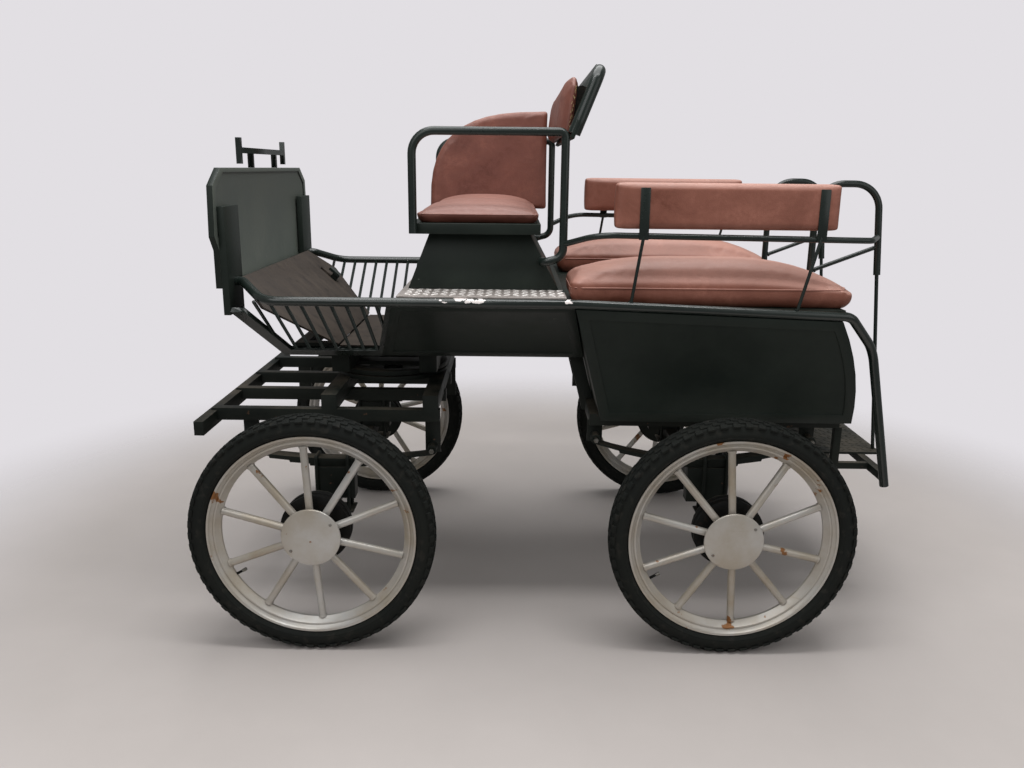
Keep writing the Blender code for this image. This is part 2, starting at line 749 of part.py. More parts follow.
def make_spring(name, mid_x, half, eye_z, low_z):
    # Stacked leaves in one outline, eyes rolled at both ends of the main leaf
    def leaf_z(reach):
        return low_z + (eye_z - EYE_RADIUS - low_z) * (reach / half) ** 2
    lower = [(half, leaf_z(half))]
    for k, share in enumerate(LEAF_LENGTHS[1:]):
        reach = half * share
        lower.append((reach, leaf_z(reach) - k * LEAF_THICKNESS))
        lower.append((reach - 0.002, leaf_z(reach) - (k + 1) * LEAF_THICKNESS))
    bottom = low_z - (len(LEAF_LENGTHS) - 1) * LEAF_THICKNESS
    upper = [(half * i / 6, leaf_z(half * i / 6) + LEAF_THICKNESS) for i in range(7)]
    side = lower + [(0.0, bottom)]
    outline = [(mid_x + u, v) for u, v in upper + side]
    outline += [(mid_x - u, v) for u, v in (lower[::-1] + upper[:0:-1])]
    stack = plate(outline, LEAF_WIDTH, section_frame(SPRING_Y))
    eyes = []
    bores = []
    for x in (mid_x - half, mid_x + half):
        eyes.append(cylinder((x, SPRING_Y, eye_z), (0, 1, 0), EYE_RADIUS, LEAF_WIDTH - 0.002, 12))
        bores.append(cylinder((x, SPRING_Y, eye_z), (0, 1, 0), PIN_RADIUS + GAP, 2 * LEAF_WIDTH, 12))
    left = finish(cut(union([stack] + eyes), bores), name + "_spring_left", "black_tube")
    mirrored(left, name + "_spring_right", "black_tube")
    return bottom


# Springs, one row each: name, middle x, half length, eye z, lowest z of the main leaf
FRONT_SPRING = ("front", FRONT_SPRING_X, FRONT_SPRING_HALF, FRONT_SPRING_EYE_Z, FRONT_SPRING_LOW_Z)
REAR_SPRING = ("rear", REAR_SPRING_X, REAR_SPRING_HALF, REAR_SPRING_EYE_Z, REAR_SPRING_LOW_Z)


def make_axle(name, x, spring_bottom, spring_mid):
    hub_inner = TRACK / 2 + DRUM_OUT - DRUM_WIDTH
    half = hub_inner - RUNNING_GAP
    beam = box((x - AXLE_SIZE / 2, -half, WHEEL_RADIUS - AXLE_SIZE / 2),
               (x + AXLE_SIZE / 2, half, WHEEL_RADIUS + AXLE_SIZE / 2))
    pieces = [beam]
    spindle_end = TRACK / 2 + HUB_CAP_OUT - 0.030
    spindle_start = half - 0.010
    for sign in (1, -1):
        middle = sign * (spindle_start + spindle_end) / 2
        pieces.append(cylinder((x, middle, WHEEL_RADIUS), (0, 1, 0), SPINDLE_RADIUS,
                               spindle_end - spindle_start, 16))
        pieces.append(cylinder((x, sign * (half - 0.012), WHEEL_RADIUS), (0, 1, 0), DRUM_RADIUS - 0.006,
                               BACKING_THICKNESS, 20))
        seat_low = WHEEL_RADIUS + AXLE_SIZE / 2 - 0.005
        pieces.append(box((min(x, spring_mid) - 0.045, sign * SPRING_Y - 0.025, seat_low),
                          (max(x, spring_mid) + 0.045, sign * SPRING_Y + 0.025, spring_bottom - GAP)))
    finish(union(pieces), name, "black_tube")


def make_forecarriage():
    rail_low = FORE_FRAME_Z - FORE_BAR_HEIGHT
    front = FRONT_REACH_X - 0.010
    pieces = []
    for y in (OUTER_BAR_Y, INNER_BAR_Y, -INNER_BAR_Y, -OUTER_BAR_Y):
        pieces.append(box((FORE_REAR_X, y - FORE_BAR_WIDTH / 2, rail_low),
                          (front, y + FORE_BAR_WIDTH / 2, FORE_FRAME_Z)))
    pieces.append(box((CROSSBAR_X - CROSSBAR_DEPTH / 2, -CROSSBAR_HALF, rail_low - 0.012),
                      (FRONT_REACH_X, CROSSBAR_HALF, rail_low - 0.012 + CROSSBAR_HEIGHT)))
    beam_half = OUTER_BAR_Y + FORE_BAR_WIDTH / 2
    ring_low = RING_Z - RING_THICKNESS
    beam_x = [KINGPIN_X + reach for reach in FORE_BEAM_REACH]
    for x in beam_x:
        pieces.append(box((x - FORE_BEAM_WIDTH / 2, -beam_half, FORE_FRAME_Z - 0.004),
                          (x + FORE_BEAM_WIDTH / 2, beam_half, ring_low + 0.004)))
    pieces.append(box((beam_x[0] + 0.005, -BRIDGE_HALF, ring_low - 0.025),
                      (beam_x[1] - 0.005, BRIDGE_HALF, ring_low + 0.002)))
    pieces.append(cylinder((KINGPIN_X, 0, RING_Z - BOSS_HEIGHT / 2), (0, 0, 1), BOSS_RADIUS, BOSS_HEIGHT, 16))
    for sign in (1, -1):
        for x in (FRONT_SPRING_X + FRONT_SPRING_HALF, FRONT_SPRING_X - FRONT_SPRING_HALF):
            pieces += hanger(x, sign, rail_low + 0.010, FRONT_SPRING_EYE_Z)
    ring_profile = [(RING_RADIUS, RING_Z), (RING_RADIUS, ring_low), (RING_BORE, ring_low), (RING_BORE, RING_Z),
                    (RING_RADIUS, RING_Z)]
    pieces.append(lathe(ring_profile, Matrix.Translation((KINGPIN_X, 0, 0)), RING_STEPS))
    bore = cylinder((KINGPIN_X, 0, RING_Z), (0, 0, 1), KINGPIN_RADIUS + GAP, 4 * BOSS_HEIGHT, 16)
    finish(cut(union(pieces), [bore]), "forecarriage_frame", "green_paint")


def make_turntable():
    low = RING_Z + RUNNING_GAP
    high = low + RING_THICKNESS
    profile = [(RING_RADIUS, high), (RING_RADIUS, low), (RING_BORE, low), (RING_BORE, high), (RING_RADIUS, high)]
    ring = lathe(profile, Matrix.Translation((KINGPIN_X, 0, 0)), RING_STEPS)
    reach = RING_BORE + 0.020
    bridge = box((KINGPIN_X - reach, -BRIDGE_HALF, low + 0.002), (KINGPIN_X + reach, BRIDGE_HALF, high))
    pin_low = RING_Z - BOSS_HEIGHT
    pin = cylinder((KINGPIN_X, 0, (pin_low + high) / 2), (0, 0, 1), KINGPIN_RADIUS, high - pin_low - 0.001, 16)
    finish(union([ring, bridge, pin]), "turntable_upper", "black_tube")
    return high


def make_chassis(ring_top):
    top = FLOOR_TOP_Z - FLOOR_THICKNESS - GAP
    low = top - CHASSIS_RAIL_SIZE
    wall_front = BULKHEAD_THICKNESS / 2 + 0.004
    rail_w = CHASSIS_RAIL_SIZE / 2
    pieces = []
    rear_low = REAR_LOW_Z - GAP - CHASSIS_RAIL_SIZE
    for sign in (1, -1):
        y = sign * CHASSIS_RAIL_Y
        x_top = bulkhead_x(top) + wall_front
        x_low = bulkhead_x(rear_low) + wall_front
        outline = [
            (BASKET_FRONT_X - 0.020, top),
            (x_top, top),
            (x_low, rear_low),
            (x_low + 0.045, rear_low),
            (bulkhead_x(low) + wall_front + 0.045, low),
            (BASKET_FRONT_X - 0.020, low),
        ]
        pieces.append(plate(outline, CHASSIS_RAIL_SIZE, section_frame(y)))
    half = CHASSIS_RAIL_Y + rail_w
    for x in (KINGPIN_X - 0.150, KINGPIN_X + 0.150):
        pieces.append(box((x - 0.030, -half, ring_top + GAP), (x + 0.030, half, low + 0.010)))
    pieces.append(box((BASKET_FRONT_X - 0.060, -half, low), (BASKET_FRONT_X - 0.020, half, top)))
    front_x = bulkhead_x(rear_low) + wall_front
    rear_half = OUTER_BAR_Y + rail_w
    pieces.append(box((front_x - 0.010, -rear_half, rear_low), (front_x + 0.035, rear_half, REAR_LOW_Z - GAP)))
    rear_end = tub_rear_x(REAR_LOW_Z) + 0.005
    for sign in (1, -1):
        pieces.append(box((rear_end, sign * OUTER_BAR_Y - rail_w, rear_low),
                          (front_x, sign * OUTER_BAR_Y + rail_w, REAR_LOW_Z - GAP)))
        for x in (REAR_SPRING_X + REAR_SPRING_HALF, REAR_SPRING_X - REAR_SPRING_HALF):
            pieces += hanger(x, sign, rear_low + 0.010, REAR_SPRING_EYE_Z)
    pieces.append(box((rear_end, -rear_half, rear_low), (rear_end + 0.035, rear_half, REAR_LOW_Z - GAP)))
    finish(union(pieces), "chassis_frame", "black_tube")


def make_rear_step():
    # Tread plate on two cross bars, carried by the rear posts and two long bars from the chassis
    bar_top = STEP_Z - 0.006
    bar_low = bar_top - STEP_BAR
    bar_half = POST_FOOT_Y - RAIL_RADIUS - GAP - 0.001
    chassis_low = REAR_LOW_Z - GAP - CHASSIS_RAIL_SIZE
    post_x = POST_FOOT_X
    end = tub_rear_x(REAR_LOW_Z) + 0.005
    pieces = [
        box((STEP_REAR_X, -STEP_HALF, bar_top - 0.002), (STEP_FRONT_X, STEP_HALF, STEP_Z)),
        box((post_x - STEP_BAR / 2, -bar_half, bar_low), (post_x + STEP_BAR / 2, bar_half, bar_top)),
        box((end - STEP_BAR / 2, -OUTER_BAR_Y, bar_low), (end + STEP_BAR / 2, OUTER_BAR_Y, bar_top)),
    ]
    for sign in (1, -1):
        y = sign * OUTER_BAR_Y
        pieces.append(box((post_x, y - 0.010, bar_low + 0.002), (end, y + 0.010, bar_top - 0.002)))
        pieces.append(box((end - 0.012, y - 0.011, bar_low + 0.001), (end + 0.011, y + 0.011, chassis_low - GAP)))
    finish(union(pieces), "rear_step", "tread_plate")


# Dash and footboard
def make_dash():
    height = DASH_TOP_Z - DASH_LOW_Z

    def shape(half, low, tall):
        # Half outline from the top centre in shares of the half width and the height
        shares = ((0.845, 1.0), (0.980, 0.857), (1.0, 0.440), (DASH_WAIST, 0.320), (DASH_WAIST, 0.0))
        side = [(u * half, low + v * tall) for u, v in shares]
        return side[::-1] + [(-u, v) for u, v in side]
    board = plate(shape(DASH_HALF, DASH_LOW_Z, height), DASH_THICKNESS, cross_frame(DASH_X - DASH_THICKNESS / 2))
    field = shape(DASH_HALF - 2 * DASH_BORDER, DASH_LOW_Z + DASH_BORDER, height - 2 * DASH_BORDER)
    recess = plate(field, 2 * DASH_RECESS, cross_frame(DASH_X - DASH_THICKNESS))
    finish(cut(board, [recess]), "dash_board", "green_paint")
    cheek_outer = DASH_WAIST * DASH_HALF
    x_high = DASH_X - DASH_THICKNESS - GAP
    cheek = box((x_high - CHEEK_THICKNESS, CHEEK_INNER_Y, CHEEK_LOW_Z), (x_high, cheek_outer, CHEEK_TOP_Z))
    finish(cheek, "dash_cheek_left", "green_paint")
    mirrored(cheek, "dash_cheek_right", "green_paint")


def make_rein_rail():
    # A cross bar with a short post at each end, on two legs that stand on the dash board's edge
    x = DASH_X - DASH_THICKNESS / 2
    z = DASH_TOP_Z + REIN_RISE
    deep, tall = REIN_BAR_DEPTH / 2, REIN_BAR_HEIGHT / 2
    bars = [box((x - deep, -REIN_HALF, z - tall), (x + deep, REIN_HALF, z + tall))]
    deep -= 0.0005
    for half, low, high, width in ((REIN_HALF, z - REIN_POST_DROP, DASH_TOP_Z + REIN_POST_RISE, REIN_POST_WIDTH),
                                   (REIN_LEG_Y, DASH_TOP_Z + GAP, z, REIN_LEG_WIDTH)):
        for y in (half, -half):
            bars.append(box((x - deep, y - width / 2, low), (x + deep, y + width / 2, high)))
    finish(union(bars), "rein_rail", "black_tube")


def make_footboard():
    cheek = DASH_X - DASH_THICKNESS - CHEEK_THICKNESS - 2 * GAP
    top = Vector((cheek - 0.0035, 0, FOOT_TOP_Z))
    low = Vector((FOOT_LOW_X + 0.004, 0, FLOOR_TOP_Z + 0.002))
    up = top - low
    frame = frame_of(low, (0, 1, 0), up)
    length = up.length
    outline = [(-FOOT_CUT_HALF, 0), (FOOT_CUT_HALF, 0), (FOOT_TOP_HALF, length), (-FOOT_TOP_HALF, length)]
    board = between(plate(outline, FOOT_THICKNESS, frame), FRONT_SIDE)
    rails = [tube([(p.x, sign * p.y, p.z) for p in rail_path()], RAIL_RADIUS + 0.002) for sign in (1, -1)]

    def strip(half, start, end, thickness, lift=0.0):
        # A rectangle along the board between two shares of its length, raised above its middle plane
        corners = [(PEDAL_Y - half, start), (PEDAL_Y + half, start), (PEDAL_Y + half, end), (PEDAL_Y - half, end)]
        return plate(corners, thickness, frame @ Matrix.Translation((0, 0, -lift)))
    slot_start = length * 0.52
    slot = strip(PEDAL_SLOT_HALF, slot_start, length * 0.74, 5 * FOOT_THICKNESS)
    finish(cut(board, rails + [slot]), "footboard", "floor_board")
    arm = strip(PEDAL_ARM_HALF, slot_start + GAP, length * 0.60, 2 * PEDAL_RISE)
    pad = strip(PEDAL_PAD_HALF, length * 0.53, length * 0.66, 0.010, PEDAL_RISE)
    finish(union([arm, pad]), "brake_pedal", "black_tube")


# Driver's seat
def frustum(low, high, z_low, z_high):
    made = bmesh.new()
    bmesh.ops.create_cube(made, size=1.0)
    for vert in made.verts:
        rear, front, half = high if vert.co.z > 0 else low
        vert.co.x = front if vert.co.x > 0 else rear
        vert.co.y = half if vert.co.y > 0 else -half
        vert.co.z = z_high if vert.co.z > 0 else z_low
    mesh = bpy.data.meshes.new("frustum")
    made.to_mesh(mesh)
    made.free()
    return mesh_object(mesh)


def shrink(section, amount):
    rear, front, half = section
    return (rear + amount, front - amount, half - amount)


def make_seat():
    low = DECK_TOP_Z + GAP
    high = SEAT_PAN_Z - GAP
    wall = 0.010
    seat_box = frustum(SEAT_BOX_LOW, SEAT_BOX_TOP, low, high)
    hollow = frustum(shrink(SEAT_BOX_LOW, wall), shrink(SEAT_BOX_TOP, wall), low - 0.02, high - wall)
    seat_box = cut(seat_box, [hollow])
    finish(seat_box, "seat_box", "green_paint")
    outline = [(SEAT_PAN_FRONT_X, -SEAT_PAN_HALF), (SEAT_PAN_FRONT_X, SEAT_PAN_HALF),
               (SEAT_PAN_REAR_X, SEAT_PAN_HALF), (SEAT_PAN_REAR_X, -SEAT_PAN_HALF)]
    pan = plate(outline, SEAT_PAN_HEIGHT, level_frame(SEAT_PAN_Z + SEAT_PAN_HEIGHT / 2))
    finish(pan, "seat_pan", "green_paint")


def pillow(name, low, high, crown, tuck=0.006):
    # A closed cushion: flat and tucked in below, bulging at its seam, crowned on top
    size = [b - a for a, b in zip(low, high)]
    made = bmesh.new()
    bmesh.ops.create_grid(made, x_segments=9, y_segments=6, size=0.5)
    for vert in made.verts:
        vert.co.x *= 1 - 2 * tuck / size[0]
        vert.co.y *= 1 - 2 * tuck / size[1]
    faces = list(made.faces)
    for height in (1 - crown, 1.0):
        region = bmesh.ops.extrude_face_region(made, geom=faces)["geom"]
        if height == 1.0:
            bmesh.ops.delete(made, geom=faces, context="FACES")
        faces = [g for g in region if isinstance(g, bmesh.types.BMFace)]
        for vert in {v for f in faces for v in f.verts}:
            if height < 1.0:
                vert.co.x /= 1 - 2 * tuck / size[0]
                vert.co.y /= 1 - 2 * tuck / size[1]
                vert.co.z = height
            else:
                edge = (1 - abs(2 * vert.co.x) ** 4) * (1 - abs(2 * vert.co.y) ** 3)
                vert.co.z = 1 - 0.85 * crown * (1 - max(edge, 0.0))
                vert.co.x *= 0.98
                vert.co.y *= 0.97
    bmesh.ops.scale(made, vec=size, verts=made.verts)
    bmesh.ops.recalc_face_normals(made, faces=made.faces)
    mesh = bpy.data.meshes.new(name)
    made.to_mesh(mesh)
    made.free()
    place = Matrix.Translation(((low[0] + high[0]) / 2, (low[1] + high[1]) / 2, low[2]))
    mesh.transform(place)
    return finish(mesh_object(tidy(mesh)), name, "brown_leather")


def make_seat_soft(shell_frame):
    pan_top = SEAT_PAN_Z + SEAT_PAN_HEIGHT + GAP
    wing_inner = ARM_Y - ARM_RADIUS - GAP - WING_THICKNESS
    x_low, x_high = SEAT_PAN_REAR_X + 0.004, SEAT_PAN_FRONT_X - 0.012
    top = pan_top + SEAT_CUSHION_HEIGHT
    pillow("seat_cushion_left", (x_low, 0.004, pan_top), (x_high, ARM_Y - 0.020, top), 0.55)
    pillow("seat_cushion_right", (x_low, -wing_inner + 0.004, pan_top), (x_high, -0.004, top), 0.55)
    # Superellipse wing panel at the driver's end of the seat
    wing_rear = ARM_REAR_X + ARM_RADIUS + 0.004
    outline = [(wing_rear, pan_top)]
    steps = 12
    for i in range(steps + 1):
        angle = math.pi / 2 * i / steps
        u = WING_LENGTH * math.cos(angle) ** (2 / WING_POWER)
        v = WING_HEIGHT * math.sin(angle) ** (2 / WING_POWER)
        outline.append((wing_rear + u, pan_top + v))
    frame = section_frame(-(wing_inner + WING_THICKNESS / 2))
    finish(plate(outline, WING_THICKNESS, frame), "seat_side_pad", "brown_leather")
    # Back pad leans less than the shell and stands on its lower edge
    inner = -wing_inner + 0.003
    outer = BACK_HALF - 0.010
    base = shell_frame @ Vector((0, BACK_PAD_LIFT, 0))
    offset = BACK_SHELL_THICKNESS / 2 + BACK_PAD_THICKNESS / 2 + 0.002
    origin = Vector((base.x + offset, 0, base.z))
    frame = frame_of(origin, (0, 1, 0), (-math.sin(BACK_PAD_LEAN), 0, math.cos(BACK_PAD_LEAN)))
    height, r = BACK_PAD_HEIGHT, BACK_PAD_CORNER
    outline = [(inner, 0.0), (outer, 0.0), (outer, height - r), (outer - r, height), (inner + r, height),
               (inner, height - r)]
    finish(plate(outline, BACK_PAD_THICKNESS, frame), "seat_back_pad", "brown_leather")


def arm_path():
    # Axis of the armrest tube from the seat pan over the arm and down to the seat box
    front_low = SEAT_PAN_Z + 0.002
    # The foot stops against the seat box's sloping side, which is widest at the tube's lower edge
    share = (ARM_FOOT_Z - ARM_RADIUS - DECK_TOP_Z) / (SEAT_PAN_Z - DECK_TOP_Z)
    foot_y = SEAT_BOX_LOW[2] + (SEAT_BOX_TOP[2] - SEAT_BOX_LOW[2]) * share + GAP
    points = [(ARM_FRONT_X, ARM_Y, front_low), (ARM_FRONT_X, ARM_Y, ARM_TOP_Z), (ARM_REAR_X, ARM_Y, ARM_TOP_Z),
              (ARM_REAR_X, ARM_Y, ARM_BEND_Z), (ARM_FOOT_X, ARM_Y, ARM_FOOT_Z), (ARM_FOOT_X, foot_y, ARM_FOOT_Z)]
    return rounded(points, ARM_BENDS)


def make_seat_arms():
    left = tube(arm_path(), ARM_RADIUS)
    finish(left, "seat_arm_left", "black_tube")
    mirrored(left, "seat_arm_right", "black_tube")


def make_seat_back():
    lean = Vector((-math.sin(BACK_LEAN), 0, math.cos(BACK_LEAN)))
    rearward = Vector((-math.cos(BACK_LEAN), 0, -math.sin(BACK_LEAN)))
    edge = Vector((ARM_REAR_X - ARM_RADIUS - 2 * GAP, 0, ARM_TOP_Z - 0.016))
    origin = edge + rearward * (BACK_SHELL_THICKNESS / 2)
    frame = frame_of(origin, (0, 1, 0), lean)
    half = ARM_Y + 0.010
    foot = 0.050
    outline = [(-half, 0.0), (half, 0.0), (half, foot)]
    for side, first in ((1, 0.0), (-1, math.pi / 2)):
        for i in range(6):
            angle = first + math.pi / 2 * i / 5
            outline.append((side * (BACK_HALF - BACK_CORNER) + BACK_CORNER * math.cos(angle),
                            BACK_HEIGHT - BACK_CORNER + BACK_CORNER * math.sin(angle)))
    outline.append((-half, foot))
    finish(plate(outline, BACK_SHELL_THICKNESS, frame), "seat_back_shell", "green_paint")
    return frame


# Benches
def make_benches():
    low = BENCH_TOP_Z - BENCH_THICKNESS
    outer = inner_y(low, REAR_LOW_Y, REAR_LOW_Z, REAR_FLARE)
    notch_x = bulkhead_x(low) + BULKHEAD_THICKNESS / 2
    notch_y = inner_y(low, FRONT_LOW_Y, FRONT_LOW_Z, FRONT_FLARE)
    outline = [(BENCH_FRONT_X, notch_y), (notch_x, notch_y), (notch_x, outer), (BENCH_REAR_X, outer),
               (BENCH_REAR_X, BENCH_INNER_Y), (BENCH_FRONT_X, BENCH_INNER_Y)]
    board = plate(outline, BENCH_THICKNESS, level_frame(low + BENCH_THICKNESS / 2))
    board = cut(board, [tube(rail_path(), RAIL_RADIUS + GAP)])
    finish(board, "bench_board_left", "green_paint")
    mirrored(board, "bench_board_right", "green_paint")
    cushion = pillow("bench_cushion_left", (CUSHION_REAR_X, CUSHION_INNER_Y, BENCH_TOP_Z + GAP),
                     (CUSHION_FRONT_X, CUSHION_OUTER_Y, BENCH_TOP_Z + GAP + CUSHION_HEIGHT), 0.56, 0.013)
    mirrored(cushion, "bench_cushion_right", "brown_leather")
    back_outer = BENCH_RAIL_Y + BENCH_RAIL_RADIUS - 0.0015
    back = box((BENCH_BACK_REAR_X, back_outer - BENCH_BACK_THICKNESS, BENCH_BACK_LOW_Z),
               (BENCH_BACK_FRONT_X, back_outer - GAP, BENCH_BACK_TOP_Z))
    finish(back, "bench_back_left", "brown_leather")
    mirrored(back, "bench_back_right", "brown_leather")


def make_bench_rails():
    arm = Vector((ARM_REAR_X, ARM_Y, BENCH_RAIL_START_Z))
    onward = Vector((BENCH_RAIL_BEND_X[0], BENCH_RAIL_Y, BENCH_RAIL_Z))
    start = arm + (onward - arm).normalized() * 0.006
    points = [start, onward, (BENCH_RAIL_BEND_X[1], BENCH_RAIL_Y, BENCH_RAIL_Z - 0.008),
              (HOOP_REAR_X - 0.008, HOOP_Y, BENCH_RAIL_Z - 0.020)]
    pieces = [tube(rounded(points, [0.06, 0.04]), BENCH_RAIL_RADIUS, 1)]
    face = BENCH_RAIL_Y + BENCH_RAIL_RADIUS - 0.0015
    for x, foot_x in zip(STRAP_X, STRAP_FOOT_X):
        pieces.append(box((x - STRAP_WIDTH / 2, face, BENCH_RAIL_Z - 0.012),
                          (x + STRAP_WIDTH / 2, face + STRAP_THICKNESS, BENCH_BACK_TOP_Z - 0.012)))
        pieces.append(tube([(x, face + STRAP_THICKNESS / 2, BENCH_RAIL_Z),
                            (foot_x, RAIL_Y - 0.004, rail_height(foot_x) + 0.003)], STRAP_ROD_RADIUS, 1))
    hoop = rounded([(HOOP_FRONT_X, HOOP_Y, BENCH_TOP_Z + GAP), (HOOP_FRONT_X, HOOP_Y, HOOP_TOP_Z),
                    (HOOP_REAR_X + 0.004, HOOP_Y, HOOP_TOP_Z), (HOOP_REAR_X - 0.020, HOOP_Y, HOOP_LOW_Z)],
                   HOOP_BEND)
    pieces.append(tube(hoop, HOOP_RADIUS))
    pieces.append(tube([(HOOP_REAR_X - 0.018, HOOP_Y, HOOP_LOW_Z + 0.020),
                        (HOOP_ROD_FOOT_X, HOOP_Y, STEP_Z + 3 * GAP)], HOOP_ROD_RADIUS, 1))
    pieces.append(tube([(HOOP_REAR_X - 0.012, HOOP_Y, BRACE_Z[0]), (HOOP_FRONT_X, HOOP_Y, BRACE_Z[1])],
                       BRACE_RADIUS, 1))
    neighbours = [tube(rail_path(), RAIL_RADIUS + GAP), tube(arm_path(), ARM_RADIUS + GAP)]
    left = finish(cut(union(pieces), neighbours), "bench_rail_left", "black_tube")
    mirrored(left, "bench_rail_right", "black_tube")


# Wheels
def wheel_meshes():
    flange = WHEEL_RADIUS - TYRE_HEIGHT
    half = RIM_WIDTH / 2
    bed = flange - 0.022
    barrel = flange - RIM_DEPTH
    rim_profile = [
        (flange, half), (flange, half - RIM_WALL), (bed, half - 0.011), (bed, -half + 0.011),
        (flange, -half + RIM_WALL), (flange, -half), (barrel, -half + 0.013), (barrel, half - 0.013),
        (flange, half),
    ]
    spin = frame_of((0, 0, 0), (1, 0, 0), (0, 0, -1))
    rim = lathe(rim_profile, spin, WHEEL_STEPS)
    out = HUB_CAP_OUT
    # The bore's flats, not its corners, clear the spindle by the gap
    bore = (SPINDLE_RADIUS + GAP) / math.cos(math.pi / HUB_STEPS)
    drum_in = DRUM_OUT - DRUM_WIDTH
    hub_profile = [
        (0.0, out), (0.032, out), (0.036, out - 0.008), (HUB_CAP_RADIUS, out - 0.011),
        (HUB_CAP_RADIUS, out - 0.018), (HUB_RADIUS, out - 0.018), (HUB_RADIUS, DRUM_OUT),
        (DRUM_RADIUS, DRUM_OUT), (DRUM_RADIUS, drum_in), (bore, drum_in), (bore, out - 0.028), (0.0, out - 0.028),
    ]
    hub = lathe(hub_profile, spin, HUB_STEPS)
    spokes = []
    for i in range(SPOKE_COUNT):
        angle = math.tau * (i + 0.4) / SPOKE_COUNT
        direction = Vector((math.cos(angle), 0, math.sin(angle)))
        start = direction * (HUB_RADIUS - 0.010) + Vector((0, 0.014, 0))
        end = direction * (barrel + 0.004)
        spokes.append(tube([start, end], SPOKE_RADIUS, 1))
    wheel = union([hub] + spokes + [rim])
    wheel_mesh = wheel.data.copy()
    wheel_mesh.transform(wheel.matrix_world)
    bpy.data.objects.remove(wheel, do_unlink=True)
    side = TYRE_WIDTH / 2
    r = WHEEL_RADIUS
    half_profile = [(bed + GAP, half - 0.011 - GAP), (flange + GAP, half - RIM_WALL - GAP),
                    (flange + 0.018, side), (r - 0.014, side - 0.003), (r, side - 0.022)]
    lower = [(radius, -along) for radius, along in reversed(half_profile)]
    tyre_profile = half_profile + lower + [half_profile[0]]
    tyre = lathe(tyre_profile, spin, WHEEL_STEPS)
    tyre_mesh = tyre.data.copy()
    tyre_mesh.transform(tyre.matrix_world)
    bpy.data.objects.remove(tyre, do_unlink=True)
    return wheel_mesh, tyre_mesh


def empty(name, location, parent=None):
    obj = collect(bpy.data.objects.new(name, None))
    obj.location = location
    if parent is not None:
        obj.parent = parent
        obj.matrix_parent_inverse = parent.matrix_world.inverted()
    bpy.context.view_layer.update()
    return obj


def attach(obj, parent):
    obj.parent = parent
    obj.matrix_parent_inverse = parent.matrix_world.inverted()


def build():
    clear_scene()
    make_materials()
    make_tub_sides()
    make_basket()
    make_top_rail()
    make_floors()
    make_bulkhead()
    make_riser()
    make_deck()
    hinge_x = make_rear_wall()
    make_dash()
    make_rein_rail()
    make_footboard()
    make_seat()
    make_seat_arms()
    shell_frame = make_seat_back()
    make_seat_soft(shell_frame)
    make_benches()
    make_bench_rails()
    make_chassis(make_turntable())
    make_rear_step()
    rear_bottom = make_spring(*REAR_SPRING)
    front_bottom = make_spring(*FRONT_SPRING)
    make_axle("rear_axle", REAR_AXLE_X, rear_bottom, REAR_SPRING[1])
    make_axle("front_axle", FRONT_AXLE_X, front_bottom, FRONT_SPRING[1])
    make_forecarriage()

    root = empty("carriage", (0, 0, 0))
    kingpin = empty("forecarriage_pivot", (KINGPIN_X, 0, RING_Z), root)
    hinge = empty("door_hinge", (hinge_x, DOOR_HALF, DOOR_TOP_Z), root)
    steered = ("forecarriage_frame", "front_spring_left", "front_spring_right", "front_axle")
    wheel_mesh, tyre_mesh = wheel_meshes()
    wheel_places = (
        ("front_left", FRONT_AXLE_X, 1, kingpin), ("front_right", FRONT_AXLE_X, -1, kingpin),
        ("rear_left", REAR_AXLE_X, 1, root), ("rear_right", REAR_AXLE_X, -1, root),
    )
    loose = [obj for obj in bpy.data.collections[PARTS].objects if obj.type == "MESH"]
    for obj in loose:
        owner = kingpin if obj.name in steered else hinge if obj.name == "rear_door" else root
        attach(obj, owner)
    for corner, x, side, owner in wheel_places:
        hub = empty(corner + "_hub", (x, side * TRACK / 2, WHEEL_RADIUS), owner)
        for kind, mesh, finish_name in (("wheel", wheel_mesh, "silver_paint"), ("tyre", tyre_mesh, "tyre_rubber")):
            obj = finish(mesh_object(mesh.copy()), corner + "_" + kind, finish_name)
            obj.parent = hub
            obj.rotation_euler = (0, 0, 0 if side > 0 else math.pi)
    root.location.x = SHIFT_X
    bpy.context.view_layer.update()


build()
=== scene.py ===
import bmesh
import bpy
import json
import math
import random
from mathutils import Matrix, Vector
from mathutils.bvhtree import BVHTree


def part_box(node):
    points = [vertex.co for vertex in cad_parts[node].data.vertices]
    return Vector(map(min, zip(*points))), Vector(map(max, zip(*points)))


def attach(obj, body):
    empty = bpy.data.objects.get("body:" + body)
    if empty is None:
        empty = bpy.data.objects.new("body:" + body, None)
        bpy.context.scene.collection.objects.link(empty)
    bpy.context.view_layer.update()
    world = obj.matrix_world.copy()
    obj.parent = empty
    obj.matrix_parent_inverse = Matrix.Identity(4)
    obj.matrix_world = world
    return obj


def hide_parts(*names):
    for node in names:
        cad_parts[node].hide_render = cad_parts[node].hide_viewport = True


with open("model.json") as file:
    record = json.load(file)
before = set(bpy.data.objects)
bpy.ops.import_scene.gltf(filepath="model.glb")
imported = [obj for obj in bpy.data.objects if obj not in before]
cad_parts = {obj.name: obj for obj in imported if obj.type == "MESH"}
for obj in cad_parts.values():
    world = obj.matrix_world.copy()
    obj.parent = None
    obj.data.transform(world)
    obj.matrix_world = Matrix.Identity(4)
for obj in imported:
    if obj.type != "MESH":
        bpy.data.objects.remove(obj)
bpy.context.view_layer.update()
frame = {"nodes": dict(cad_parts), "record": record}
bodies = frame["record"]["behaviour"]["bodies"]
bodyOf = {node: body for body, nodes in bodies.items() for node in nodes}
slotOf = {entry["node"]: entry["material_slot"] for entry in frame["record"]["subparts"]}

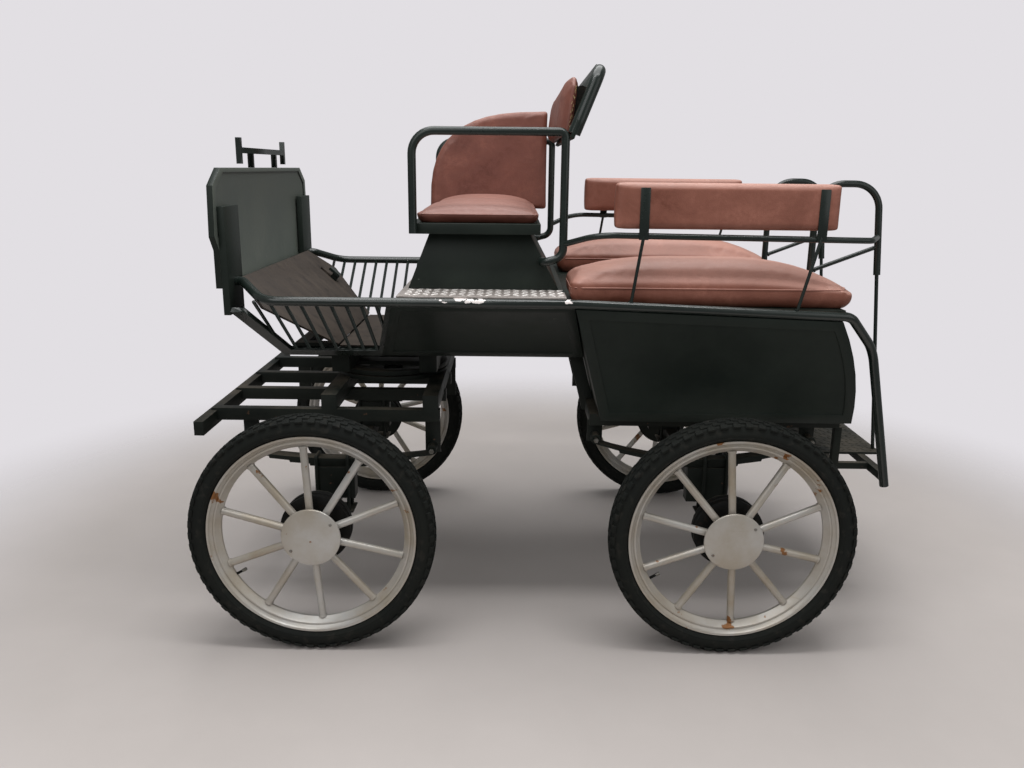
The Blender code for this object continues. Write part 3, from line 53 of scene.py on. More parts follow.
# x values below are measured from the camera's own plane, where the front axle stands at this x
frontAxleX = 0.600
tyreLow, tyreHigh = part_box("front_left_tyre")
shiftX = (tyreLow[0] + tyreHigh[0]) / 2 - frontAxleX
print("stage: frame loaded, camera plane at x =", round(shiftX, 4))


def linked(name, data):
    thing = bpy.data.objects.new(name, data)
    bpy.context.scene.collection.objects.link(thing)
    return thing


# camera placed where the photograph was taken from, in metres and degrees
photoView = {"focalPixels": 850.0, "imageWidth": 1024.0, "distance": 3.060, "height": 1.458,
             "pitch": 14.26, "roll": 0.62, "sensor": 36.0, "farClip": 60.0}


def placeCamera(view):
    pitch, roll = math.radians(view["pitch"]), math.radians(view["roll"])
    ahead = Vector((0, -math.cos(pitch), -math.sin(pitch)))
    over = Vector((0, -math.sin(pitch), math.cos(pitch)))
    right = Vector((-1, 0, 0))
    turnedRight = right * math.cos(roll) + over * math.sin(roll)
    turnedUp = over * math.cos(roll) - right * math.sin(roll)
    camera = linked("photoCamera", bpy.data.cameras.new("photoCamera"))
    camera.data.sensor_width = view["sensor"]
    camera.data.lens = view["focalPixels"] / view["imageWidth"] * camera.data.sensor_width
    camera.data.clip_end = view["farClip"]
    turn = Matrix((turnedRight, turnedUp, -ahead)).transposed().to_4x4()
    camera.matrix_world = Matrix.Translation((shiftX, view["distance"], view["height"])) @ turn
    bpy.context.scene.camera = camera


placeCamera(photoView)


# materials
def hexColour(code):
    channels = [int(code[i:i + 2], 16) / 255 for i in (0, 2, 4)]
    return [c / 12.92 if c <= 0.04045 else ((c + 0.055) / 1.055) ** 2.4 for c in channels] + [1.0]


def addNode(tree, kind, links=None, **settings):
    node = tree.nodes.new(kind)
    for name, value in settings.items():
        setattr(node, name, value)
    for key, value in (links or {}).items():
        if isinstance(value, bpy.types.NodeSocket):
            tree.links.new(value, node.inputs[key])
        else:
            node.inputs[key].default_value = value
    return node


def startMaterial(name):
    material = bpy.data.materials.new(name)
    material.use_nodes = True
    tree = material.node_tree
    return material, tree, tree.nodes["Principled BSDF"]


def colourLayer(tree, under, over, noise, band):
    # one colour laid over another where a noise rises through the band: from, to and the most it covers
    spots = addNode(tree, "ShaderNodeTexNoise", noise)
    mask = addNode(tree, "ShaderNodeMapRange", {0: spots.outputs[0], 1: band[0], 2: band[1], 3: 0.0, 4: band[2]})
    mixed = addNode(tree, "ShaderNodeMix", {0: mask.outputs[0], 6: under, 7: hexColour(over)}, data_type="RGBA")
    return mixed.outputs[2], spots.outputs[0], mask.outputs[0]


def finished(tree, shader, colour, wear, gloss, height, relief):
    # gloss is wear from, wear to and the roughness at each; relief is its strength and depth in metres
    rough = addNode(tree, "ShaderNodeMapRange", {0: wear, 1: gloss[0], 2: gloss[1], 3: gloss[2], 4: gloss[3]})
    bump = addNode(tree, "ShaderNodeBump", {"Height": height, "Strength": relief[0], "Distance": relief[1]})
    for socket, value in (("Base Color", colour), ("Roughness", rough.outputs[0]), ("Normal", bump.outputs[0])):
        tree.links.new(value, shader.inputs[socket])


def enamelOnSteel(name, colours, gloss, chips, chipZones=(), metal=0.0, shine=0.5, dustAndTopLight=None):
    # brushed or sprayed gloss enamel: dust dulls it in patches, knocks show what is under the paint
    material, tree, shader = startMaterial(name)
    shader.inputs["Specular IOR Level"].default_value = shine
    shader.inputs["Metallic"].default_value = metal
    place = addNode(tree, "ShaderNodeTexCoord").outputs["Object"]
    broad = {"Vector": place, "Scale": 4.0, "Detail": 6.0, "Roughness": 0.62}
    dusty, patches, patchMask = colourLayer(tree, hexColour(colours[0]), colours[1], broad, (0.36, 0.70, 1.0))
    stretched = addNode(tree, "ShaderNodeMapping", {"Vector": place, "Scale": (3.0, 9.0, 85.0)})
    scratches = {"Vector": stretched.outputs[0], "Scale": 1.6, "Detail": 4.0}
    scratched = colourLayer(tree, dusty, colours[1], scratches, (0.66, 0.72, 0.35))[0]
    knocks = addNode(tree, "ShaderNodeTexNoise",
                     {"Vector": place, "Scale": chips["scale"], "Detail": 5.0}).outputs[0]
    start = chips["start"]
    chipMask = addNode(tree, "ShaderNodeMapRange",
                       {0: knocks, 1: start, 2: start + 0.025, 3: 0.0, 4: 1.0}).outputs[0]
    parts = addNode(tree, "ShaderNodeSeparateXYZ", {0: place})
    for centre, reach, least in chipZones:
        # worn stretches of a rail, where hands and boots have taken the paint off
        away = addNode(tree, "ShaderNodeMath", {0: parts.outputs[0], 1: centre}, operation="SUBTRACT")
        distance = addNode(tree, "ShaderNodeMath", {0: away.outputs[0]}, operation="ABSOLUTE")
        zone = addNode(tree, "ShaderNodeMapRange",
                       {0: distance.outputs[0], 1: reach * 0.5, 2: reach, 3: 1.0, 4: 0.0})
        upper = addNode(tree, "ShaderNodeMapRange",
                        {0: parts.outputs[2], 1: least, 2: least + 0.010, 3: 0.0, 4: 1.0})
        worn = addNode(tree, "ShaderNodeMath", {0: zone.outputs[0], 1: upper.outputs[0]}, operation="MULTIPLY")
        # the nearer to the worn stretch's middle and top, the more paint is gone
        limit = addNode(tree, "ShaderNodeMath", {0: worn.outputs[0], 1: -0.27, 2: 0.80}, operation="MULTIPLY_ADD")
        bare = addNode(tree, "ShaderNodeMath", {0: knocks, 1: limit.outputs[0]}, operation="GREATER_THAN")
        chipMask = addNode(tree, "ShaderNodeMath", {0: chipMask, 1: bare.outputs[0]},
                           operation="MAXIMUM").outputs[0]
    chipped = addNode(tree, "ShaderNodeMix", {0: chipMask, 6: scratched, 7: hexColour(colours[2])},
                      data_type="RGBA")
    colour = chipped.outputs[2]
    if dustAndTopLight is not None:
        # dust and painted top light: a paler tone in patches on whatever faces up
        facing = addNode(tree, "ShaderNodeNewGeometry").outputs["Normal"]
        upward = addNode(tree, "ShaderNodeSeparateXYZ", {0: facing})
        upFacingShare = addNode(tree, "ShaderNodeMapRange", {0: upward.outputs[2], 1: 0.6, 2: 1.0, 3: 0.0, 4: dustAndTopLight[1]})
        uneven = addNode(tree, "ShaderNodeMath", {0: upFacingShare.outputs[0], 1: patchMask}, operation="MULTIPLY")
        dustAndTopLightMix = addNode(tree, "ShaderNodeMix", {0: uneven.outputs[0], 6: colour, 7: hexColour(dustAndTopLight[0])},
                              data_type="RGBA")
        colour = dustAndTopLightMix.outputs[2]
    # orange peel of sprayed enamel, cells of about 2.5 mm
    peel = addNode(tree, "ShaderNodeTexNoise", {"Vector": place, "Scale": 400.0, "Detail": 2.0})
    height = addNode(tree, "ShaderNodeMath", {0: chipMask, 1: -1.6, 2: peel.outputs[0]}, operation="MULTIPLY_ADD")
    finished(tree, shader, colour, patches, (0.3, 0.75, *gloss), height.outputs[0], (0.16, 0.0006))
    return material


def upholsteryLeatherette(name, colours, seed):
    # embossed leather cloth, rubbed pale where people sit and darker in the hollows; its upward faces carry painted
    # top light
    material, tree, shader = startMaterial(name)
    place = addNode(tree, "ShaderNodeTexCoord").outputs["Object"]
    shift = (seed, seed * 0.7, -seed)
    moved = addNode(tree, "ShaderNodeMapping", {"Vector": place, "Location": shift}).outputs[0]
    broad = {"Vector": moved, "Scale": 5.5, "Detail": 5.0, "Roughness": 0.6, "Distortion": 0.6}
    rubbed = colourLayer(tree, hexColour(colours[0]), colours[1], broad, (0.34, 0.68, 1.0))[0]
    fine = {"Vector": moved, "Scale": 48.0, "Detail": 7.0, "Roughness": 0.78}
    mottled, mottle = colourLayer(tree, rubbed, colours[2], fine, (0.42, 0.62, 0.85))[:2]
    # the upper faces are painted paler: painted top light, as if lit from above
    facing = addNode(tree, "ShaderNodeNewGeometry").outputs["Normal"]
    upward = addNode(tree, "ShaderNodeSeparateXYZ", {0: facing})
    paintedTopLight = addNode(tree, "ShaderNodeMapRange", {0: upward.outputs[2], 1: 0.15, 2: 0.95, 3: 0.0, 4: 0.55})
    paintedTopLitColour = addNode(tree, "ShaderNodeMix", {0: paintedTopLight.outputs[0], 6: mottled, 7: hexColour(colours[3])},
                    data_type="RGBA")
    # pebble grain drawn at 2.2 mm, about twice life size, so that it shows
    grain = addNode(tree, "ShaderNodeTexVoronoi", {"Vector": moved, "Scale": 450.0}, feature="SMOOTH_F1")
    creases = addNode(tree, "ShaderNodeTexNoise",
                      {"Vector": moved, "Scale": 17.0, "Detail": 3.0, "Distortion": 1.4})
    height = addNode(tree, "ShaderNodeMath", {0: creases.outputs[0], 1: 3.5, 2: grain.outputs[0]},
                     operation="MULTIPLY_ADD")
    finished(tree, shader, paintedTopLitColour.outputs[2], mottle, (0.3, 0.7, 0.40, 0.58), height.outputs[0], (0.35, 0.0012))
    return material


def roughSurface(name, colours, scale, gloss, grit, stretch=(1.0, 1.0, 1.0), metal=0.0, shine=0.4):
    # matt or raw surface in three tones; a grit scale of n gives grains of about 1000 / n millimetres
    material, tree, shader = startMaterial(name)
    shader.inputs["Specular IOR Level"].default_value = shine
    shader.inputs["Metallic"].default_value = metal
    place = addNode(tree, "ShaderNodeTexCoord").outputs["Object"]
    spread = addNode(tree, "ShaderNodeMapping", {"Vector": place, "Scale": stretch})
    broad = {"Vector": spread.outputs[0], "Scale": scale, "Detail": 7.0, "Roughness": 0.65}
    tone, wear = colourLayer(tree, hexColour(colours[0]), colours[1], broad, (0.38, 0.66, 1.0))[:2]
    fine = {"Vector": place, "Scale": scale * 4.3, "Detail": 6.0}
    stained = colourLayer(tree, tone, colours[2], fine, (0.56, 0.68, 0.7))[0]
    relief = addNode(tree, "ShaderNodeTexNoise", {"Vector": place, "Scale": grit["scale"], "Detail": 4.0})
    finished(tree, shader, stained, wear, (0.3, 0.7, *gloss), relief.outputs[0], (grit["strength"], grit["depth"]))
    return material


# a knock scale of n gives chips about 1000 / n millimetres apart, and a higher start gives fewer of them
panelEnamel = enamelOnSteel("panelEnamel", ("1A211D", "262D28", "4C514A"), (0.38, 0.58),
                            {"scale": 38.0, "start": 0.74}, shine=0.22)
tubeEnamel = enamelOnSteel("tubeEnamel", ("141C19", "202925", "7C817A"), (0.18, 0.36),
                           {"scale": 60.0, "start": 0.72}, shine=0.45)
railEnamel = enamelOnSteel("railEnamel", ("141C19", "222A26", "EAE2DF"), (0.14, 0.30),
                           {"scale": 27.0, "start": 0.74},
                           ((shiftX + 0.150, 0.130, 1.066), (shiftX - 0.175, 0.030, 1.066)), shine=0.6)
# paler green-grey for the dash's rear face: painted sheen where that face catches the light
dashEnamel = enamelOnSteel("dashEnamel", ("4B524C", "5C615A", "6C7069"), (0.40, 0.60),
                           {"scale": 38.0, "start": 0.74}, shine=0.35)
wheelEnamel = enamelOnSteel("wheelEnamel", ("BEBCB8", "A3957F", "86592F"), (0.28, 0.48),
                            {"scale": 17.0, "start": 0.67}, metal=0.35)
# the frame's upward faces take a paler brown-grey in patches, partly dust and partly painted top light
frameEnamel = enamelOnSteel("frameEnamel", ("151A17", "252924", "4A372A"), (0.42, 0.66),
                            {"scale": 44.0, "start": 0.70}, shine=0.2, dustAndTopLight=("7B7063", 0.55))
# each leather's fourth colour is the painted top light laid on its upward faces
seatLeather = upholsteryLeatherette("seatLeather", ("62352A", "885446", "734338", "946A5F"), 0.0)
benchLeather = upholsteryLeatherette("benchLeather", ("744131", "9F6655", "885242", "CDA193"), 3.7)
tyreRubber = roughSurface("tyreRubber", ("151816", "1D1F1C", "2B2A26"), 9.0, (0.7, 0.9),
                          {"scale": 520.0, "strength": 0.25, "depth": 0.0006}, shine=0.2)
brakeIron = roughSurface("brakeIron", ("0F1110", "181715", "2C221B"), 16.0, (0.55, 0.8),
                         {"scale": 300.0, "strength": 0.3, "depth": 0.0006}, metal=0.1, shine=0.25)
floorBoards = roughSurface("floorBoards", ("352E29", "443C35", "28231F"), 6.0, (0.6, 0.85),
                           {"scale": 240.0, "strength": 0.35, "depth": 0.0008}, (1.0, 3.5, 1.0), shine=0.25)
chequerPlate = roughSurface("chequerPlate", ("B4ACA7", "A39B96", "857D78"), 7.0, (0.28, 0.5),
                            {"scale": 260.0, "strength": 0.15, "depth": 0.0005}, metal=0.4)
wornLozenge = roughSurface("wornLozenge", ("F4F0EC", "E6E0DC", "C4BCB6"), 30.0, (0.2, 0.4),
                           {"scale": 260.0, "strength": 0.15, "depth": 0.0005}, metal=0.35)
backingFelt = roughSurface("backingFelt", ("12110F", "1D1B18", "2A251F"), 22.0, (0.85, 0.98),
                           {"scale": 260.0, "strength": 0.9, "depth": 0.002}, shine=0.15)
zincBolt = roughSurface("zincBolt", ("8F8E89", "6F6B64", "6B4A33"), 40.0, (0.3, 0.5),
                        {"scale": 500.0, "strength": 0.15, "depth": 0.0004}, metal=0.85)
paddingFoam = roughSurface("paddingFoam", ("C9B58A", "A98F62", "6E5138"), 30.0, (0.85, 0.98),
                           {"scale": 330.0, "strength": 0.8, "depth": 0.0016})
print("stage: materials ready")


# mesh helpers
def meshFrom(made, name):
    mesh = bpy.data.meshes.new(name)
    made.to_mesh(mesh)
    made.free()
    return mesh


def newPiece(name, mesh, materials):
    # the mesh's own material numbers are put back, because clearing the list resets them
    piece = linked(name, mesh)
    numbers = [face.material_index for face in mesh.polygons]
    mesh.materials.clear()
    for material in materials if isinstance(materials, (list, tuple)) else [materials]:
        mesh.materials.append(material)
    if max(numbers, default=0) < len(mesh.materials):
        mesh.polygons.foreach_set("material_index", numbers)
    return piece


def settled(piece):
    # the piece with its modifiers made part of a plain mesh
    bpy.context.view_layer.update()
    graph = bpy.context.evaluated_depsgraph_get()
    mesh = bpy.data.meshes.new_from_object(piece.evaluated_get(graph))
    old = piece.data
    piece.modifiers.clear()
    piece.data = mesh
    mesh.name = piece.name
    bpy.data.meshes.remove(old)
    return piece


def smoothed(piece, angle=35):
    piece.data.shade_smooth()
    piece.data.set_sharp_from_angle(angle=math.radians(angle))
    return piece


def belongs(piece, body, slot, *nodes):
    if nodes:
        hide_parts(*nodes)
    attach(piece, body)
    return piece


def wholeFaces(node):
    # a CAD solid with its loose triangles joined
    made = bmesh.new()
    made.from_mesh(frame["nodes"][node].data)
    bmesh.ops.remove_doubles(made, verts=made.verts, dist=0.00001)
    bmesh.ops.dissolve_limit(made, angle_limit=0.003, verts=made.verts, edges=made.edges)
    return made


def bevelled(piece, width, segments, angle):
    edge = piece.modifiers.new("softEdge", "BEVEL")
    edge.width = width
    edge.segments = segments
    edge.limit_method = "ANGLE"
    edge.angle_limit = math.radians(angle)
    return settled(piece)


def refined(node, material, edge=0.0010, angle=35):
    # a CAD solid with softened edges and smooth round faces
    piece = newPiece(node + "_finished", meshFrom(wholeFaces(node), node + "Finished"), material)
    if edge > 0:
        bevelled(piece, edge, 2, 40)
    smoothed(piece, angle)
    return belongs(piece, bodyOf[node], slotOf[node], node)


def joined(name, pieces):
    # several plain meshes as one piece
    made = bmesh.new()
    materials = []
    for piece in pieces:
        offset = len(materials)
        materials.extend(piece.data.materials)
        before = len(made.faces)
        made.from_mesh(piece.data)
        made.faces.ensure_lookup_table()
        for face in made.faces[before:]:
            face.material_index += offset
    mesh = meshFrom(made, name)
    for piece in pieces:
        bpy.data.objects.remove(piece, do_unlink=True)
    return newPiece(name, mesh, materials)


# geometry node trees
def newTree(name, inputs):
    tree = bpy.data.node_groups.new(name, "GeometryNodeTree")
    tree.interface.new_socket("Geometry", in_out="INPUT", socket_type="NodeSocketGeometry")
    for label, kind in inputs:
        tree.interface.new_socket(label, in_out="INPUT", socket_type="NodeSocket" + kind)
    tree.interface.new_socket("Geometry", in_out="OUTPUT", socket_type="NodeSocketGeometry")
    return tree, addNode(tree, "NodeGroupInput").outputs


def endTree(tree, geometry, material):
    real = addNode(tree, "GeometryNodeRealizeInstances", {0: geometry})
    painted = addNode(tree, "GeometryNodeSetMaterial", {"Geometry": real.outputs[0], "Material": material})
    addNode(tree, "NodeGroupOutput", {0: painted.outputs[0]})


def runTree(piece, tree, values):
    # values go in by each socket's identifier before the piece is first evaluated
    modifier = piece.modifiers.new("nodes", "NODES")
    modifier.node_group = tree
    for item in tree.interface.items_tree:
        if item.item_type == "SOCKET" and item.in_out == "INPUT" and item.name in values:
            modifier[item.identifier] = values[item.name]
    return settled(piece)


def tubeTree():
    # a round bar swept along the piece's own edges
    tree, given = newTree("barAlongPath", [("Radius", "Float"), ("Sides", "Int"), ("Finish", "Material")])
    path = addNode(tree, "GeometryNodeMeshToCurve", {0: given["Geometry"]})
    circle = addNode(tree, "GeometryNodeCurvePrimitiveCircle",
                     {"Resolution": given["Sides"], "Radius": given["Radius"]})
    swept = addNode(tree, "GeometryNodeCurveToMesh", {0: path.outputs[0], 1: circle.outputs[0], "Fill Caps": True})
    smooth = addNode(tree, "GeometryNodeSetShadeSmooth", {"Geometry": swept.outputs[0]})
    endTree(tree, smooth.outputs[0], given["Finish"])
    return tree


barTree = tubeTree()


def bar(name, points, radius, material, sides=16, closed=False):
    edges = [(i, i + 1) for i in range(len(points) - 1)]
    if closed:
        edges.append((len(points) - 1, 0))
    mesh = bpy.data.meshes.new(name)
    mesh.from_pydata([tuple(p) for p in points], edges, [])
    piece = newPiece(name, mesh, material)
    runTree(piece, barTree, {"Radius": radius, "Sides": sides, "Finish": material})
    made = bmesh.new()
    made.from_mesh(piece.data)
    bmesh.ops.remove_doubles(made, verts=made.verts, dist=0.000001)
    bmesh.ops.recalc_face_normals(made, faces=made.faces)
    made.to_mesh(piece.data)
    made.free()
    return smoothed(piece, 50)


def scatterTree():
    # one small shape set on each of the piece's points, turned by the point's stored direction
    tree, given = newTree("shapeOnPoints", [("Shape", "Object"), ("Size", "Float"), ("Finish", "Material")])
    points = addNode(tree, "GeometryNodeMeshToPoints", {0: given["Geometry"]})
    shape = addNode(tree, "GeometryNodeObjectInfo", {"Object": given["Shape"]}, transform_space="ORIGINAL")
    facing = addNode(tree, "GeometryNodeInputNamedAttribute", {"Name": "facing"}, data_type="FLOAT_VECTOR")
    along = addNode(tree, "GeometryNodeInputNamedAttribute", {"Name": "along"}, data_type="FLOAT_VECTOR")
    up = addNode(tree, "FunctionNodeAlignRotationToVector", {"Vector": facing.outputs[0]}, axis="Z")
    turned = addNode(tree, "FunctionNodeAlignRotationToVector",
                     {"Rotation": up.outputs[0], "Vector": along.outputs[0]}, axis="X", pivot_axis="Z")
    placed = addNode(tree, "GeometryNodeInstanceOnPoints",
                     {"Points": points.outputs[0], "Rotation": turned.outputs[0],
                      "Instance": shape.outputs["Geometry"], "Scale": given["Size"]})
    endTree(tree, placed.outputs[0], given["Finish"])
    return tree


pointTree = scatterTree()


def scattered(name, places, shape, material, size=1.0):
    # places are rows of position, outward direction and length direction
    mesh = bpy.data.meshes.new(name)
    mesh.from_pydata([tuple(row[0]) for row in places], [], [])
    for label, column in (("facing", 1), ("along", 2)):
        layer = mesh.attributes.new(label, "FLOAT_VECTOR", "POINT")
        for entry, row in zip(layer.data, places):
            entry.vector = row[column]
    piece = newPiece(name, mesh, material)
    return runTree(piece, pointTree, {"Shape": shape, "Size": size, "Finish": material})


def pattern(name, sides, rings, turn=0.0):
    # small closed shape from a few rings of (radius x, radius y, height), used as a repeated pattern piece
    made = bmesh.new()
    loops = []
    for wide, deep, height in rings:
        loop = []
        for i in range(sides):
            angle = math.tau * (i + turn) / sides
            loop.append(made.verts.new((wide * math.cos(angle), deep * math.sin(angle), height)))
        loops.append(loop)
    for lower, upper in zip(loops, loops[1:]):
        for i in range(sides):
            j = (i + 1) % sides
            made.faces.new((lower[i], lower[j], upper[j], upper[i]))
    made.faces.new(loops[-1])
    made.faces.new(loops[0][::-1])
    return linked(name, meshFrom(made, name))


def at(x, y, z):
    return Vector((x + shiftX, y, z))


def bent(points, radii, steps=9):
    # a path whose inner corners are arcs of the given radii
    path = [points[0]]
    for before, corner, after, radius in zip(points, points[1:], points[2:], radii):
        toBefore, toAfter = (before - corner).normalized(), (after - corner).normalized()
        angle = toBefore.angle(toAfter)
        if radius <= 0 or angle > math.radians(179):
            path.append(corner)
            continue
        middle = corner + (toBefore + toAfter).normalized() * (radius / math.sin(angle / 2))
        start = corner + toBefore * (radius / math.tan(angle / 2)) - middle
        axis = start.cross(corner + toAfter * (radius / math.tan(angle / 2)) - middle).normalized()
        for i in range(steps + 1):
            path.append(middle + Matrix.Rotation((math.pi - angle) * i / steps, 3, axis) @ start)
    return path + [points[-1]]


def block(name, low, high, edge, material):
    # flat bar or plate with softened edges
    made = bmesh.new()
    bmesh.ops.create_cube(made, size=1.0)
    for vert in made.verts:
        for axis in range(3):
            vert.co[axis] = high[axis] if vert.co[axis] > 0 else low[axis]
    bmesh.ops.bevel(made, geom=list(made.edges), offset=edge, segments=2, profile=0.5, affect="EDGES")
    return smoothed(newPiece(name, meshFrom(made, name), material), 40)


def mirroredPiece(piece, name):
    mesh = piece.data.copy()
    mesh.transform(Matrix.Scale(-1, 4, Vector((0, 1, 0))))
    mesh.flip_normals()
    return newPiece(name, mesh, list(piece.data.materials))


# rings of each small shape are (radius x, radius y, height)
patternPieces = {
    "hexHead": pattern("hexHead", 6, [(0.0085, 0.0085, 0.0), (0.0085, 0.0085, 0.005), (0.0072, 0.0072, 0.0062)]),
    "lozenge": pattern("lozenge", 8, [(0.0125, 0.0034, -0.0008), (0.0125, 0.0034, 0.0004),
                                      (0.0085, 0.0018, 0.0016)]),
    "staple": pattern("staple", 4, [(0.0055, 0.0008, 0.0), (0.0055, 0.0008, 0.0012)], 0.5),
}

# wheels and tyres; valve rows are name, foot, tip, thickness and finish
wheelLook = {"steps": 96, "flange": 0.316, "bed": 0.303, "barrel": 0.278, "halfWidth": 0.031, "spokes": 10,
             "spokeRadius": 0.0115, "firstSpoke": 0.4, "spokeFoot": 0.034, "dish": 0.014, "bead": 0.0022,
             "hubCap": 0.090, "studs": 5, "firstStud": 0.15, "studCircle": 0.058, "screwCircle": 0.0745,
             "screwTurn": 2.53, "screwSize": 0.6, "valveTurn": -0.52,
             "valve": (("valveStem", 0.2800, 0.2560, 0.0042, brakeIron),
                       ("valveCap", 0.2570, 0.2440, 0.0052, zincBolt))}
tyreLook = {"steps": 120, "blocks": 62, "radius": 0.375, "tread": 0.0050, "halfWidth": 0.041, "gap": 0.0004}


def around(angle, radius=1.0, along=0.0):
    # a point on a circle round the wheel's axis
    return Vector((radius * math.cos(angle), along, radius * math.sin(angle)))


def turned(name, profile, steps, material, closed=True):
    # a profile of (radius, along) turned round the Y axis
    made = bmesh.new()
    loops = []
    for radius, along in profile:
        if radius < 1e-6:
            loops.append([made.verts.new((0, along, 0))])
            continue
        loops.append([made.verts.new(around(math.tau * i / steps, radius, along)) for i in range(steps)])
    pairs = list(zip(loops, loops[1:])) + ([(loops[-1], loops[0])] if closed else [])
    for first, second in pairs:
        for i in range(steps):
            j = (i + 1) % steps
            corners = [first[i % len(first)], first[j % len(first)], second[j % len(second)],
                       second[i % len(second)]]
            corners = [v for k, v in enumerate(corners) if v not in corners[:k]]
            if len(corners) > 2:
                made.faces.new(corners)
    bmesh.ops.recalc_face_normals(made, faces=made.faces)
    return smoothed(newPiece(name, meshFrom(made, name), material), 32)


def makeWheelShape(look):
    flange, bed, barrel, half, cap = (look[key] for key in ("flange", "bed", "barrel", "halfWidth", "hubCap"))
    # section rows are (radius, distance outwards from the wheel's middle)
    # one half of the rim: its outside from lip to well and its inside from lip to barrel
    outer = [(flange, half), (flange + 0.0006, half - 0.003), (flange - 0.004, half - 0.0055),
             (bed + 0.002, half - 0.008), (bed, half - 0.014), (bed - 0.012, 0.008)]
    inner = [(flange - 0.006, half - 0.0008), (flange - 0.0085, half - 0.006), (bed - 0.003, half - 0.0120),
             (bed - 0.006, half - 0.0095), (bed - 0.010, half - 0.0100), (bed - 0.013, half - 0.0140),
             (barrel + 0.003, half - 0.0240), (barrel, half - 0.0270)]
    section = outer + [(radius, -along) for radius, along in outer[::-1] + inner] + inner[::-1]
    rim = turned("rim", section, look["steps"], wheelEnamel)
    hub = turned("hub", [
        (0.0, 0.0398), (0.020, 0.0397), (0.045, 0.0393), (0.070, 0.0386),
        (cap - 0.004, 0.0378), (cap - 0.0012, 0.0368), (cap, 0.0350), (cap, 0.0315), (cap - 0.003, 0.0300),
        (0.0450, 0.0298), (0.0400, 0.0270), (0.0400, -0.0225), (0.0, -0.0225),
    ], 64, wheelEnamel, False)
    drum = turned("drum", [
        (0.038, -0.0220), (0.085, -0.0220), (0.100, -0.0235), (0.108, -0.0285), (0.108, -0.0400), (0.1045, -0.0420),
        (0.1045, -0.0550), (0.108, -0.0570), (0.108, -0.0735), (0.100, -0.0740), (0.096, -0.0700), (0.038, -0.0700),
    ], 72, brakeIron)
    spokePoint = bpy.data.meshes.new("spokeFoot")
    spokePoint.from_pydata([(0, 0, 0)], [], [])
    spokes = newPiece("spokes", spokePoint, wheelEnamel)
    runTree(spokes, spokeTree(), {"Count": look["spokes"], "Start": look["spokeFoot"], "End": barrel + 0.002,
                                  "Thickness": look["spokeRadius"], "Rise": look["dish"],
                                  "Turn": look["firstSpoke"], "Finish": wheelEnamel})
    smoothed(spokes, 50)
    beads = []
    for i in range(look["spokes"]):
        # weld bead where each spoke meets the rim
        out = around(math.tau * (i + look["firstSpoke"]) / look["spokes"])
        beads.append(bar("bead%d" % i, [out * (barrel - 0.0045), out * (barrel + 0.001)],
                         look["spokeRadius"] + look["bead"], wheelEnamel, 14))
    studs = []
    for i in range(look["studs"]):
        angle = math.tau * (i + look["firstStud"]) / look["studs"]
        studs.append((around(angle, look["studCircle"], -0.0218), (0, 1, 0), around(angle)))
    nuts = scattered("hubNuts", studs, patternPieces["hexHead"], zincBolt)
    screws = [(around(angle, look["screwCircle"], 0.0366), (0, 1, 0), (1, 0, 0))
              for angle in (look["screwTurn"], look["screwTurn"] + math.pi)]
    screwHeads = scattered("hubScrews", screws, patternPieces["hexHead"], zincBolt, look["screwSize"])
    way = around(look["valveTurn"])
    valve = [bar(name, [way * foot, way * tip], thickness, finish, 12)
             for name, foot, tip, thickness, finish in look["valve"]]
    return joined("wheelShape", [rim, hub, drum, spokes, nuts, screwHeads] + valve + beads)


def spokeTree():
    # round spokes set at equal angles between hub and rim
    tree, given = newTree("spokesRoundHub", [("Count", "Int"), ("Start", "Float"), ("End", "Float"),
                                             ("Rise", "Float"), ("Thickness", "Float"), ("Turn", "Float"),
                                             ("Finish", "Material")])
    foot = addNode(tree, "ShaderNodeCombineXYZ", {0: given["Start"], 1: given["Rise"]})
    tip = addNode(tree, "ShaderNodeCombineXYZ", {0: given["End"]})
    line = addNode(tree, "GeometryNodeCurvePrimitiveLine", {"Start": foot.outputs[0], "End": tip.outputs[0]})
    circle = addNode(tree, "GeometryNodeCurvePrimitiveCircle", {"Resolution": 16, "Radius": given["Thickness"]})
    spoke = addNode(tree, "GeometryNodeCurveToMesh", {0: line.outputs[0], 1: circle.outputs[0], "Fill Caps": True})
    points = addNode(tree, "GeometryNodePoints", {"Count": given["Count"]})
    number = addNode(tree, "GeometryNodeInputIndex")
    counted = addNode(tree, "ShaderNodeMath", {0: number.outputs[0], 1: given["Turn"]}, operation="ADD")
    share = addNode(tree, "ShaderNodeMath", {0: counted.outputs[0], 1: given["Count"]}, operation="DIVIDE")
    angle = addNode(tree, "ShaderNodeMath", {0: share.outputs[0], 1: -math.tau}, operation="MULTIPLY")
    rotation = addNode(tree, "ShaderNodeCombineXYZ", {1: angle.outputs[0]})
    placed = addNode(tree, "GeometryNodeInstanceOnPoints",
                     {"Points": points.outputs[0], "Instance": spoke.outputs[0], "Rotation": rotation.outputs[0]})
    endTree(tree, placed.outputs[0], given["Finish"])
    return tree


